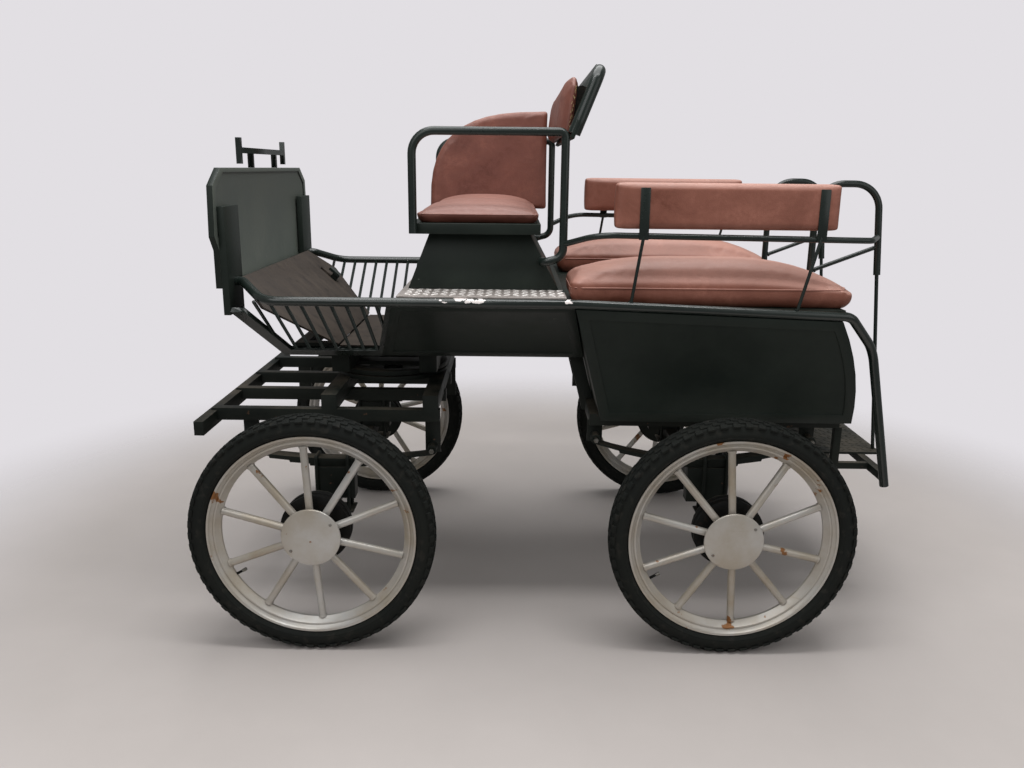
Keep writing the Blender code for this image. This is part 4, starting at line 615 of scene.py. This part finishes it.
def makeTyreShape(look):
    r, side, gap = look["radius"], look["halfWidth"], look["gap"]
    bed, flange, half = wheelLook["bed"], wheelLook["flange"], wheelLook["halfWidth"]
    base = r - look["tread"]
    # one half of the section, from the bead in the rim over the sidewall to the tread
    rightHalf = [(bed + gap, half - 0.0135), (bed + 0.004, half - 0.0095), (flange + 0.0025, half - 0.0075),
                 (flange + 0.0035, half - 0.001), (flange + 0.006, half + 0.003), (flange + 0.010, side - 0.003),
                 (flange + 0.013, side - 0.0005), (flange + 0.0155, side - 0.0012), (flange + 0.018, side),
                 (flange + 0.026, side - 0.0005), (flange + 0.033, side - 0.003), (base - 0.006, side - 0.008),
                 (base - 0.002, side - 0.016), (base, side - 0.028)]
    section = rightHalf + [(radius, -along) for radius, along in reversed(rightHalf)]
    carcass = turned("carcass", section, look["steps"], tyreRubber)
    blocks = []
    # rows of tread blocks: place across the tyre, offset round it in blocks, lean outwards and depth in the tread
    rows = ((0.0, 0.0, 0.0, 0.0006), (0.019, 0.5, 0.16, 0.0018), (-0.019, 0.5, -0.16, 0.0018),
            (0.0335, 0.0, 0.62, 0.0064), (-0.0335, 0.0, -0.62, 0.0064))
    for across, offset, lean, sunk in rows:
        for i in range(look["blocks"]):
            angle = math.tau * (i + offset) / look["blocks"]
            out = around(angle)
            facing = out * math.cos(lean) + Vector((0, math.sin(lean), 0))
            spot = out * (base - sunk) + Vector((0, across, 0))
            blocks.append((spot, facing, (-math.sin(angle), 0, math.cos(angle))))
    rings = [(0.0165, 0.0105, -0.002), (0.0150, 0.0092, 0.0042), (0.0138, 0.0082, 0.0050)]
    block = pattern("treadBlock", 4, rings, 0.5)
    tread = scattered("tread", blocks, block, tyreRubber)
    bpy.data.objects.remove(block, do_unlink=True)
    return joined("tyreShape", [carcass, tread])


wheelShape = makeWheelShape(wheelLook)
tyreShape = makeTyreShape(tyreLook)
for corner in ("front_left", "front_right", "rear_left", "rear_right"):
    low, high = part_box(corner + "_tyre")
    centre = Vector([(a + b) / 2 for a, b in zip(low, high)])
    turn = Matrix.Translation(centre) @ Matrix.Rotation(0.0 if centre.y > 0 else math.pi, 4, "Z")
    for shape, kind, slot in ((wheelShape, "_wheel", "silver_paint"), (tyreShape, "_tyre", "tyre_rubber")):
        mesh = shape.data.copy()
        mesh.transform(turn)
        piece = newPiece(corner + kind + "_detailed", mesh, list(shape.data.materials))
        belongs(piece, bodyOf[corner + kind], slot, corner + kind)
for shape in (wheelShape, tyreShape):
    bpy.data.objects.remove(shape, do_unlink=True)
print("stage: wheels and tyres")

# hard panels and tubes keep their CAD form with softened edges
panelNodes = ("front_side_left", "front_side_right", "rear_side_left", "rear_side_right", "bulkhead", "seat_riser",
              "rear_corner_left", "rear_corner_right", "rear_door", "dash_cheek_left", "dash_cheek_right",
              "seat_box", "seat_pan", "seat_back_shell", "bench_board_left", "bench_board_right")
frameNodes = ("chassis_frame", "turntable_upper", "forecarriage_frame", "rear_axle", "front_axle",
              "rear_spring_left", "rear_spring_right", "front_spring_left", "front_spring_right", "rear_step")
boardNodes = ("front_floor", "rear_floor", "footboard")
tubeNodes = ("rein_rail", "basket_left", "basket_right", "brake_pedal")
tubeAngle = 62  # the solids' tubes have few sides, so wide angles are smoothed too
basketSwell = 0.0012  # coats of paint on the basket's rods
for node in panelNodes:
    refined(node, panelEnamel)
for node in frameNodes:
    refined(node, frameEnamel, 0.0008, 40)
for node in boardNodes:
    refined(node, floorBoards)
for node in tubeNodes:
    tube = refined(node, tubeEnamel, 0.0, tubeAngle)
    if node.startswith("basket"):
        thicker = tube.modifiers.new("paintedOver", "DISPLACE")
        thicker.mid_level = 0.0
        thicker.strength = basketSwell
        smoothed(settled(tube), tubeAngle)

# the face of the dash towards the driver gets a paler enamel as painted sheen, the rest does not
dash = refined("dash_board", panelEnamel)
dash.data.materials.append(dashEnamel)
for face in dash.data.polygons:
    if face.normal.x < -0.8:
        face.material_index = 1

deckLook = {"marginHalf": 0.47, "marginLap": 0.001, "pitch": 0.0270, "border": 0.020, "inset": 0.014,
            "edge": 0.010, "clear": 0.012, "slant": 0.78, "size": 1.15}
deck = refined("tread_deck", chequerPlate, 0.0008)


def paintedShadeMargin(piece, behind, half):
    # the plate's edge behind the seat box takes the dark body enamel as painted shade
    made = bmesh.new()
    made.from_mesh(piece.data)
    for point, normal in (((behind, 0, 0), (1, 0, 0)), ((0, half, 0), (0, 1, 0)), ((0, -half, 0), (0, 1, 0))):
        bmesh.ops.bisect_plane(made, geom=made.verts[:] + made.edges[:] + made.faces[:], plane_co=point,
                               plane_no=normal, dist=1e-6)
    for face in made.faces:
        spot = face.calc_center_median()
        if spot.x < behind and abs(spot.y) < half:
            face.material_index = 1
    made.to_mesh(piece.data)
    made.free()
    piece.data.materials.append(panelEnamel)


paintedShadeMargin(deck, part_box("seat_box")[0][0] + deckLook["marginLap"], deckLook["marginHalf"])
print("stage: panels and chassis")

# round tubes drawn again with smooth bends along the same axes as the solids
# a route's rows are x, y, z and the radius of the bend there
tubeLook = {
    "topRail": {"radius": 0.014, "sides": 20, "route": (
        (0.8464, 0.470, 1.116, 0), (0.825, 0.470, 1.116, 0.030), (0.735, 0.585, 1.072, 0.090),
        (-0.192, 0.585, 1.072, 0), (-1.000, 0.5761, 1.042, 0.050), (-1.105, 0.504, 0.930, 0.120),
        (-1.194, 0.500, 0.485, 0))},
    "seatArm": {"radius": 0.0125, "sides": 18, "route": (
        (0.303, 0.4695, 1.264, 0), (0.303, 0.4695, 1.562, 0.066), (-0.150, 0.4695, 1.562, 0.018),
        (-0.150, 0.4695, 1.196, 0.036), (-0.088, 0.4695, 1.180, 0.020), (-0.088, 0.4113, 1.180, 0))},
    "hoop": {"radius": 0.011, "sides": 18, "steps": 12, "route": (
        (-0.974, 0.260, 1.0603, 0), (-0.974, 0.260, 1.420, 0.085), (-1.171, 0.260, 1.420, 0.085),
        (-1.195, 0.260, 1.130, 0))},
    "hoopRod": {"radius": 0.006, "sides": 12, "route": ((-1.193, 0.260, 1.150, 0), (-1.250, 0.260, 0.5309, 0))},
    "hoopBrace": {"radius": 0.007, "sides": 12, "route": ((-1.187, 0.260, 1.222, 0), (-0.974, 0.260, 1.140, 0))},
}
# straps are (x of the strap, x of its rod's foot), welds are (tube, x, z, direction)
benchRailLook = {"radius": 0.009, "start": (-0.150, 0.4695, 1.236), "fromArm": 0.010, "bends": (0.13, 0.04),
                 "route": ((-0.245, 0.566, 1.272), (-1.040, 0.566, 1.264), (-1.183, 0.260, 1.252)),
                 "y": 0.566, "z": 1.272, "straps": ((-0.376, -0.346), (-0.890, -0.835)), "strapFace": 0.0075,
                 "strapHalf": 0.014, "strapThickness": 0.005, "strapBelow": 0.012, "strapTop": 1.408,
                 "strapEdge": 0.0015, "rodRadius": 0.005, "footY": 0.581, "footZ": 1.075, "fallFrom": -0.192,
                 "fall": 0.030 / 0.778, "weldRise": 0.012, "weld": 0.0022, "hoopY": 0.260,
                 "welds": (("hoopBrace", -0.987, 1.145, (1, 0, -0.4)), ("hoop", -0.974, 1.064, (0, 0, 1)))}


def routed(name, material=tubeEnamel):
    look = tubeLook[name]
    points = [at(x, y, z) for x, y, z, bend in look["route"]]
    bends = [row[3] for row in look["route"][1:-1]]
    return bar(name, bent(points, bends, look.get("steps", 9)), look["radius"], material, look["sides"])


def topRail():
    return routed("topRail", railEnamel)


def seatArm():
    return routed("seatArm")


def ringWeld(name, centre, along, radius, half=0.002):
    # the bead round a tube's end where it is welded on
    direction = Vector(along).normalized()
    return bar(name, [centre - direction * half, centre + direction * half], radius, tubeEnamel, 18)


def benchRail():
    look = benchRailLook
    y, z = look["y"], look["z"]
    corners = [at(*row) for row in look["route"]]
    start = at(*look["start"])
    start += (corners[0] - start).normalized() * look["fromArm"]
    parts = [bar("benchRail", bent([start] + corners, look["bends"]), look["radius"], tubeEnamel, 16)]
    face = y + look["strapFace"]
    for strapX, footX in look["straps"]:
        low = at(strapX - look["strapHalf"], face, z - look["strapBelow"])
        high = at(strapX + look["strapHalf"], face + look["strapThickness"], look["strapTop"])
        parts.append(block("strap", low, high, look["strapEdge"], tubeEnamel))
        # the rod's foot stands on the top rail, which falls towards the rear
        foot = at(footX, look["footY"], look["footZ"] - look["fall"] * (look["fallFrom"] - footX))
        head = at(strapX, face + look["strapThickness"] / 2, z)
        parts.append(bar("strapRod", [head, foot], look["rodRadius"], tubeEnamel, 12))
        parts.append(ringWeld("strapWeld", foot + Vector((0, 0, look["weldRise"])), at(strapX, face, z) - foot,
                              look["rodRadius"] + look["weld"]))
    parts += [routed("hoop"), routed("hoopRod"), routed("hoopBrace")]
    for tube, x, height, along in look["welds"]:
        parts.append(ringWeld(tube + "Weld", at(x, look["hoopY"], height), along,
                              tubeLook[tube]["radius"] + look["weld"]))
    return joined("benchRailParts", parts)


for makeTube, node in ((topRail, "top_rail"), (seatArm, "seat_arm"), (benchRail, "bench_rail")):
    left = makeTube()
    left.name = node + "_left_round"
    right = mirroredPiece(left, node + "_right_round")
    belongs(left, "body", "black_tube", node + "_left")
    belongs(right, "body", "black_tube", node + "_right")
print("stage: tubes")

# rolled rim round the seat's back and torn wadding between its shell and the pad
# slopes are lengths back for each length up, and padLean is how far back the pad's top stands, as in the solids
backLook = {"rim": 0.0190, "half": 0.4610, "topHalf": 0.4400, "height": 0.2060, "roll": 0.0100, "corner": 0.050,
            "sideFoot": 0.014, "shoulder": 0.050, "sideBend": 0.10, "lean": 0.34, "footX": -0.1688, "footZ": 1.5440,
            "padLean": 0.0209, "padSlope": 0.1208, "shellSlope": 0.3537, "shellFoot": 1.546, "steps": 64,
            "waddingFoot": 1.600, "waddingTop": 1.688, "waddingIn": 0.03, "waddingShort": 0.05, "ragged": 0.013,
            "drop": 0.004, "intoPad": 0.004, "intoShell": 0.001, "seed": 5}


def seatBackTrim(look):
    lean = Vector((-math.sin(look["lean"]), 0, math.cos(look["lean"])))
    foot = at(look["footX"], 0, look["footZ"])
    half, height = look["half"], look["height"]
    corners = [(-half, look["sideFoot"]), (-half, look["shoulder"]), (-look["topHalf"], height),
               (look["topHalf"], height), (half, look["shoulder"]), (half, look["sideFoot"])]
    points = [foot + Vector((-look["roll"] * v / height, u, 0)) + lean * v for u, v in corners]
    path = bent(points, (look["sideBend"], look["corner"], look["corner"], look["sideBend"]))
    belongs(bar("seat_back_rim", path, look["rim"], tubeEnamel, 20), "body", "black_tube")
    low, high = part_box("seat_back_pad")
    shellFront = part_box("seat_back_shell")[1][0]

    def padBack(z):
        return low[0] + look["padLean"] - look["padSlope"] * (z - low[2]) + look["intoPad"]

    def shellFace(z):
        return shellFront - look["shellSlope"] * (z - look["shellFoot"]) - look["intoShell"]

    random.seed(look["seed"])
    made = bmesh.new()
    slices = []
    for i in range(look["steps"] + 1):
        y = low[1] + look["waddingIn"] + (high[1] - low[1] - look["waddingShort"]) * i / look["steps"]
        tops = [look["waddingTop"] + random.uniform(-1, 1) * look["ragged"] for k in range(3)]
        middle = (padBack(tops[1]) + shellFace(tops[1])) / 2
        base = look["waddingFoot"]
        slices.append([made.verts.new(p) for p in (
            (padBack(base), y, base), (padBack(tops[0]), y, tops[0]), (middle, y, tops[1]),
            (shellFace(tops[2]), y, tops[2] - look["drop"]), (shellFace(base), y, base))])
    for first, second in zip(slices, slices[1:]):
        for k in range(5):
            made.faces.new((first[k], second[k], second[(k + 1) % 5], first[(k + 1) % 5]))
    made.faces.new(slices[0])
    made.faces.new(slices[-1])
    bmesh.ops.recalc_face_normals(made, faces=made.faces)
    mesh = meshFrom(made, "seat_back_wadding")
    belongs(smoothed(newPiece("seat_back_wadding", mesh, backingFelt), 40), "body", "brown_leather")


seatBackTrim(backLook)

# U-bolts that hold the springs on the axles, with their plates, and nuts on the spring pins
# rows are name, body, bolts' x, top of the spring, spring eyes' x and their height
clampLook = {"bolt": 0.006, "bend": 0.010, "springHalf": 0.0290, "plate": 0.006, "plateHalf": 0.040,
             "plateGap": 0.0003, "nutGap": 0.0004, "reach": 0.016, "tail": 0.016, "axleZ": 0.375,
             "axleHalf": 0.0225, "springY": 0.400, "eyeY": 0.4305,
             "rows": (("front_axle_clamps", "forecarriage", (0.536, 0.638), 0.5302, (0.260, 0.860), 0.560),
                      ("rear_axle_clamps", "body", (-0.708, -0.634), 0.5412, (-0.275, -0.975), 0.604))}


def axleClamps(name, body, boltsX, topZ, eyes, eyeZ, look):
    parts = []
    heads = []
    low = look["axleZ"] - look["axleHalf"]
    for side in (1, -1):
        y = side * look["springY"]
        legs = (y - look["springHalf"], y + look["springHalf"])
        for x in boltsX:
            tail, top = low - look["tail"], topZ + look["bolt"]
            loop = [at(x, legs[0], tail), at(x, legs[0], top), at(x, legs[1], top), at(x, legs[1], tail)]
            path = bent(loop, (look["bend"], look["bend"]), 5)
            parts.append(bar("clampBolt", path, look["bolt"], frameEnamel, 12))
            for leg in legs:
                heads.append((at(x, leg, low - look["plate"] - look["nutGap"]), (0, 0, -1), (1, 0, 0)))
        plateLow = at(min(boltsX) - look["reach"], y - look["plateHalf"], low - look["plate"])
        plateHigh = at(max(boltsX) + look["reach"], y + look["plateHalf"], low - look["plateGap"])
        parts.append(block("clampPlate", plateLow, plateHigh, 0.001, frameEnamel))
        for x in eyes:
            heads.append((at(x, side * look["eyeY"], eyeZ), (0, side, 0), (1, 0, 0)))
    parts.append(scattered("clampNuts", heads, patternPieces["hexHead"], zincBolt))
    belongs(joined(name, parts), body, "black_tube")


for row in clampLook["rows"]:
    axleClamps(*row, clampLook)
print("stage: clamps and seat back")


# raised lozenges of the chequer plate
def lozengeAt(x, y, z, number, slant):
    # neighbours slant opposite ways
    turn = slant if number % 2 else -slant
    return Vector((x, y, z)), (0, 0, 1), (math.cos(turn), math.sin(turn), 0)


def deckLozenges(look):
    low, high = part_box("tread_deck")
    seatLow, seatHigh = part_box("seat_box")
    pitch, clear = look["pitch"], look["clear"]
    places = []
    rows = int((high[1] - low[1] - look["border"]) / pitch)
    columns = int((high[0] - low[0] - look["border"]) / pitch)
    for i in range(columns + 1):
        for j in range(rows + 1):
            x = low[0] + look["inset"] + i * pitch
            y = low[1] + look["inset"] + j * pitch
            under = seatLow[0] - clear < x < seatHigh[0] + clear and seatLow[1] - clear < y < seatHigh[1] + clear
            if not (under or x > high[0] - look["edge"] or y > high[1] - look["edge"]):
                places.append(lozengeAt(x, y, high[2], i + j, look["slant"]))
    piece = scattered("deck_lozenges", places, patternPieces["lozenge"], wornLozenge, look["size"])
    belongs(smoothed(piece, 20), "body", "tread_plate")


deckLozenges(deckLook)

stepLook = {"rows": 9, "columns": 24, "pitch": 0.024, "inset": 0.022, "firstY": -0.276, "top": 0.530, "slant": 0.78}


def stepLozenges(look):
    # the rear step is the same plate, painted over
    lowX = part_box("rear_step")[0][0] + look["inset"]
    places = [lozengeAt(lowX + i * look["pitch"], look["firstY"] + j * look["pitch"], look["top"], i + j,
                        look["slant"]) for i in range(look["rows"]) for j in range(look["columns"])]
    piece = scattered("step_lozenges", places, patternPieces["lozenge"], frameEnamel)
    belongs(smoothed(piece, 20), "body", "tread_plate")


stepLozenges(stepLook)


# cushions and pads
def roundedBlock(name, low, high, look, material, taper=None, divisions=(16, 8)):
    # block with rounded upright corners, sides drawn in at the bottom and a crowned top
    made = bmesh.new()
    bmesh.ops.create_cube(made, size=1.0)
    size = Vector([b - a for a, b in zip(low, high)])
    centre = Vector([(a + b) / 2 for a, b in zip(low, high)])
    for vert in made.verts:
        vert.co = Vector([c * s for c, s in zip(vert.co, size)])
    bmesh.ops.bevel(made, geom=list(made.edges), offset=look["corner"], segments=4, profile=0.5, affect="EDGES")
    for axis, count in enumerate(divisions):
        for i in range(1, count):
            plane = Vector((0, 0, 0))
            plane[axis] = size[axis] * (i / count - 0.5)
            normal = Vector((0, 0, 0))
            normal[axis] = 1
            bmesh.ops.bisect_plane(made, geom=made.verts[:] + made.edges[:] + made.faces[:], plane_co=plane,
                                   plane_no=normal, dist=1e-6)
    crown, tuck = look["crown"], look["tuck"]
    for vert in made.verts:
        u, v, w = (2 * vert.co[k] / size[k] for k in range(3))
        if w > 0:
            rise = crown * w * max(0.0, (1 - abs(u) ** look["droop"]) * (1 - abs(v) ** look["sideDroop"]))
            vert.co.z += rise - crown * w
            if taper is not None and -u > taper[0]:
                # the top slopes down towards the nose
                vert.co.z -= taper[1] * w * ((-u - taper[0]) / (1 - taper[0])) ** 1.6
        vert.co.x *= 1 - tuck * 0.5 * max(0.0, -w)
        vert.co.y *= 1 - tuck * max(0.0, -w)
        vert.co += centre
    bmesh.ops.recalc_face_normals(made, faces=made.faces)
    return newPiece(name, meshFrom(made, name), material)


def inflated(piece, settings):
    # cloth under inner pressure, each point held to within the cap, then one subdivision
    remesh = piece.modifiers.new("skin", "REMESH")
    remesh.mode = "VOXEL"
    remesh.voxel_size = settings["voxel"]
    settled(piece)
    start = [v.co.copy() for v in piece.data.vertices]
    scene = bpy.context.scene
    cloth = piece.modifiers.new("filling", "CLOTH")
    cloth.settings.use_pressure = True
    cloth.settings.uniform_pressure_force = settings["pressure"]
    cloth.settings.effector_weights.gravity = 0
    cloth.settings.quality = 4
    cloth.settings.mass = 0.3
    cloth.point_cache.frame_start = 1
    cloth.point_cache.frame_end = settings["frames"]
    for number in range(1, settings["frames"] + 1):
        scene.frame_set(number)
    settled(piece)
    scene.frame_set(1)
    low, high = settings["low"], settings["high"]
    for vert, before in zip(piece.data.vertices, start):
        move = vert.co - before
        if move.length > settings["cap"]:
            move *= settings["cap"] / move.length
        vert.co = before + move
        for axis in range(3):
            vert.co[axis] = min(max(vert.co[axis], low[axis]), high[axis])
    ease = piece.modifiers.new("ease", "SMOOTH")
    ease.iterations = 3
    ease.factor = 0.5
    finer = piece.modifiers.new("finer", "SUBSURF")
    finer.levels = finer.render_levels = 1
    settled(piece)
    piece.data.shade_smooth()
    return piece


def pipedSeam(name, piece, outline, radius, material, sink=0.0008, rayLength=0.8):
    # piping laid on the cushion's skin: each outline row is (point inside, direction outwards)
    tree = BVHTree.FromObject(piece, bpy.context.evaluated_depsgraph_get())
    points = []
    for inside, outwards in outline:
        direction = Vector(outwards).normalized()
        hit = tree.ray_cast(Vector(inside) + direction * rayLength, -direction)[0]
        if hit is not None:
            points.append(hit - direction * sink)
    return bar(name, points, radius, material, 10, True)


def levelRing(piece, height, count, inset=0.09, squareness=0.35, within=0.9):
    # rays start along a rounded rectangle, so that corners get as many points as the long sides
    corners = [Vector(v.co) for v in piece.data.vertices]
    lowX, highX = min(c.x for c in corners), max(c.x for c in corners)
    lowY, highY = min(c.y for c in corners), max(c.y for c in corners)
    middle = Vector(((lowX + highX) / 2, (lowY + highY) / 2, height))
    reach = Vector(((highX - lowX) / 2, (highY - lowY) / 2))
    rows = []
    for i in range(count):
        angle = math.tau * i / count
        c, s = math.cos(angle), math.sin(angle)
        px = math.copysign(abs(c) ** squareness, c) * (reach.x - inset)
        py = math.copysign(abs(s) ** squareness, s) * (reach.y - inset)
        rows.append((middle + Vector((px, py, 0)) * within, (c / reach.x, s / reach.y, 0)))
    return rows


# the form starts smaller than the cushion, because the pressure swells it
seatCushionLook = {"corner": 0.028, "crown": 0.037, "droop": 2.8, "sideDroop": 2.4, "tuck": 0.03, "voxel": 0.0055,
                   "pressure": 4.0, "frames": 20, "cap": 0.008, "seam": 0.40, "piping": 0.0026, "rearReach": 0.009,
                   "frontReach": 0.002, "shrink": (0.001, 0.003, 0.002), "spare": (0.004, 0.006, 0.006)}
benchCushionLook = {**seatCushionLook, "corner": 0.036, "crown": 0.056, "droop": 3.6, "tuck": 0.0, "voxel": 0.0080,
                    "cap": 0.010, "seam": 0.42, "piping": 0.0028, "rearReach": 0.026, "frontReach": 0.0}
benchTaper = (0.20, 0.038)  # share of the half depth where the slope to the nose starts, and its drop


def makeCushion(node, look, material, taper=None):
    low, high = (Vector(c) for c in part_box(node))
    low.x -= look["rearReach"]
    high.x += look["frontReach"]
    shrink, spare = Vector(look["shrink"]), Vector(look["spare"])
    level = Vector((1, 1, 0))  # the underside stays where it is
    shell = roundedBlock(node + "_stuffed", low + shrink * level, high - shrink, look, material, taper)
    inflated(shell, {**look, "low": low - spare * level, "high": high + spare})
    height = low.z + (high.z - low.z) * look["seam"]
    piping = pipedSeam(node + "_piping", shell, levelRing(shell, height, 90), look["piping"], material)
    belongs(shell, "body", "brown_leather", node)
    belongs(piping, "body", "brown_leather")
    return shell


for side in ("left", "right"):
    makeCushion("seat_cushion_" + side, seatCushionLook, seatLeather)
for side in ("left", "right"):
    makeCushion("bench_cushion_" + side, benchCushionLook, benchLeather, benchTaper)
print("stage: cushions")

padLook = {"corner": 0.011, "voxel": 0.0055, "pressure": 4.0, "frames": 20, "cap": 0.006, "spare": 0.004,
           "thin": 0.0}
backPadLook = {**padLook, "thin": 0.020, "depth": 0.0352, "endsFrom": 0.80, "topFrom": 0.62}
boardLook = {"corner": 0.006, "voxel": 0.0050, "pressure": 2.0, "frames": 12, "cap": 0.003, "spare": 0.002,
             "thin": 0.0}
stapleLook = {"count": 14, "from": 0.10, "over": 0.75, "seed": 9}


def makePad(node, look, material):
    # an upholstered board: the CAD solid's own outline, skinned, softened and filled out
    pad = newPiece(node + "_stuffed", meshFrom(wholeFaces(node), node + "Pad"), material)
    bevelled(pad, look["corner"], 4, 50)
    low, high = (Vector(c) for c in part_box(node))
    spare = Vector((look["spare"],) * 3)
    inflated(pad, {**look, "low": low - spare, "high": high + spare})
    if look["thin"] > 0:
        # stuffing thins towards the ends and the top; the back face stays where it is
        middle, half = (low.y + high.y) / 2, (high.y - low.y) / 2
        for vert in pad.data.vertices:
            height = (vert.co.z - low.z) / (high.z - low.z)
            depth = (vert.co.x - low.x - backLook["padLean"] * (1 - height)) / look["depth"]
            towardsEnd = max(0.0, (abs(vert.co.y - middle) / half - look["endsFrom"]) / (1 - look["endsFrom"]))
            towardsTop = max(0.0, (height - look["topFrom"]) / (1 - look["topFrom"]))
            vert.co.x -= max(0.0, depth) * look["thin"] * min(1.0, towardsEnd ** 1.6 + 0.6 * towardsTop ** 2)
    belongs(pad, "body", "brown_leather", node)
    return pad


def padStaples(pad, look):
    # staples and pale threads down the pad's back edges, where its cloth has come away
    tree = BVHTree.FromObject(pad, bpy.context.evaluated_depsgraph_get())
    low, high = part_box("seat_back_pad")
    random.seed(look["seed"])
    places = []
    for i in range(look["count"]):
        height = look["from"] + look["over"] * (i + random.uniform(0.1, 0.9)) / look["count"]
        x = low[0] + backLook["padLean"] * (1 - height) + random.uniform(0.002, 0.009)
        z = low[2] + height * (high[2] - low[2])
        for side in (1, -1):
            hit, normal = tree.ray_cast(Vector((x, side, z)), Vector((0, -side, 0)))[:2]
            if hit is not None:
                places.append((hit, normal, (random.uniform(-0.7, 0.7), 0, 1)))
    belongs(scattered("seat_back_staples", places, patternPieces["staple"], paddingFoam), "body", "brown_leather")


makePad("seat_side_pad", padLook, seatLeather)
padStaples(makePad("seat_back_pad", backPadLook, seatLeather), stapleLook)
for node in ("bench_back_left", "bench_back_right"):
    makePad(node, boardLook, benchLeather)
print("stage: pads")

for shape in patternPieces.values():
    bpy.data.objects.remove(shape, do_unlink=True)

# floor, backdrop and light; lamp rows are name, power, place, width and depth
studio = {"wall": "E2DFE3", "floor": ("BEB7B3", "D3CBC7"), "floorHalf": 14.0, "floorZ": -0.0005, "fadeFrom": 1.7,
          "fadeTo": 3.1, "worldStrength": 0.25, "aim": (0, 0, 0.7),
          "lamps": (("key", 38.0, (1.6, 3.2, 3.4), 2.6, 2.6), ("fill", 14.0, (-2.6, 2.4, 2.2), 2.4, 2.4),
                    ("top", 125.0, (0.0, -0.4, 4.2), 3.4, 3.4), ("strip", 36.0, (0.0, 1.3, 3.7), 3.2, 0.3))}


def makeStudio(look):
    material, tree, shader = startMaterial("paleConcreteFloor")
    place = addNode(tree, "ShaderNodeTexCoord").outputs["Object"]
    clouds = addNode(tree, "ShaderNodeTexNoise", {"Vector": place, "Scale": 1.3, "Detail": 8.0, "Roughness": 0.6})
    tone = addNode(tree, "ShaderNodeMix", {0: clouds.outputs[0], 6: hexColour(look["floor"][0]),
                                           7: hexColour(look["floor"][1])}, data_type="RGBA")
    tree.links.new(tone.outputs[2], shader.inputs["Base Color"])
    shader.inputs["Roughness"].default_value = 0.55
    # the far floor melts into the backdrop, as in a studio sweep
    away = addNode(tree, "ShaderNodeVectorMath", {0: place}, operation="LENGTH")
    far = addNode(tree, "ShaderNodeMapRange", {0: away.outputs["Value"], 1: look["fadeFrom"], 2: look["fadeTo"],
                                               3: 0.0, 4: 1.0}, interpolation_type="SMOOTHSTEP")
    clear = addNode(tree, "ShaderNodeBsdfTransparent")
    faded = addNode(tree, "ShaderNodeMixShader", {0: far.outputs[0], 1: shader.outputs[0], 2: clear.outputs[0]})
    tree.links.new(faded.outputs[0], tree.nodes["Material Output"].inputs["Surface"])
    made = bmesh.new()
    bmesh.ops.create_grid(made, x_segments=1, y_segments=1, size=look["floorHalf"])
    floor = newPiece("studioFloor", meshFrom(made, "floor"), material)
    floor.location.z = look["floorZ"]
    world = bpy.data.worlds.new("studioWorld")
    bpy.context.scene.world = world
    world.use_nodes = True
    tree = world.node_tree
    tree.nodes.clear()
    rays = addNode(tree, "ShaderNodeLightPath")
    plain = addNode(tree, "ShaderNodeBackground", {"Color": (1, 1, 1, 1), "Strength": look["worldStrength"]})
    seen = addNode(tree, "ShaderNodeBackground", {"Color": hexColour(look["wall"]), "Strength": 1.0})
    mixed = addNode(tree, "ShaderNodeMixShader", {0: rays.outputs["Is Camera Ray"], 1: plain.outputs[0],
                                                  2: seen.outputs[0]})
    addNode(tree, "ShaderNodeOutputWorld", {0: mixed.outputs[0]})
    for name, power, spot, size, depth in look["lamps"]:
        lamp = bpy.data.lights.new(name, "AREA")
        lamp.shape = "RECTANGLE"
        lamp.energy = power
        lamp.size = size
        lamp.size_y = depth
        lampObject = linked(name, lamp)
        lampObject.location = spot
        aim = Vector(look["aim"]) - Vector(spot)
        lampObject.rotation_euler = aim.to_track_quat("-Z", "Y").to_euler()


makeStudio(studio)
bpy.context.scene.view_settings.view_transform = "Standard"
print("stage: studio")
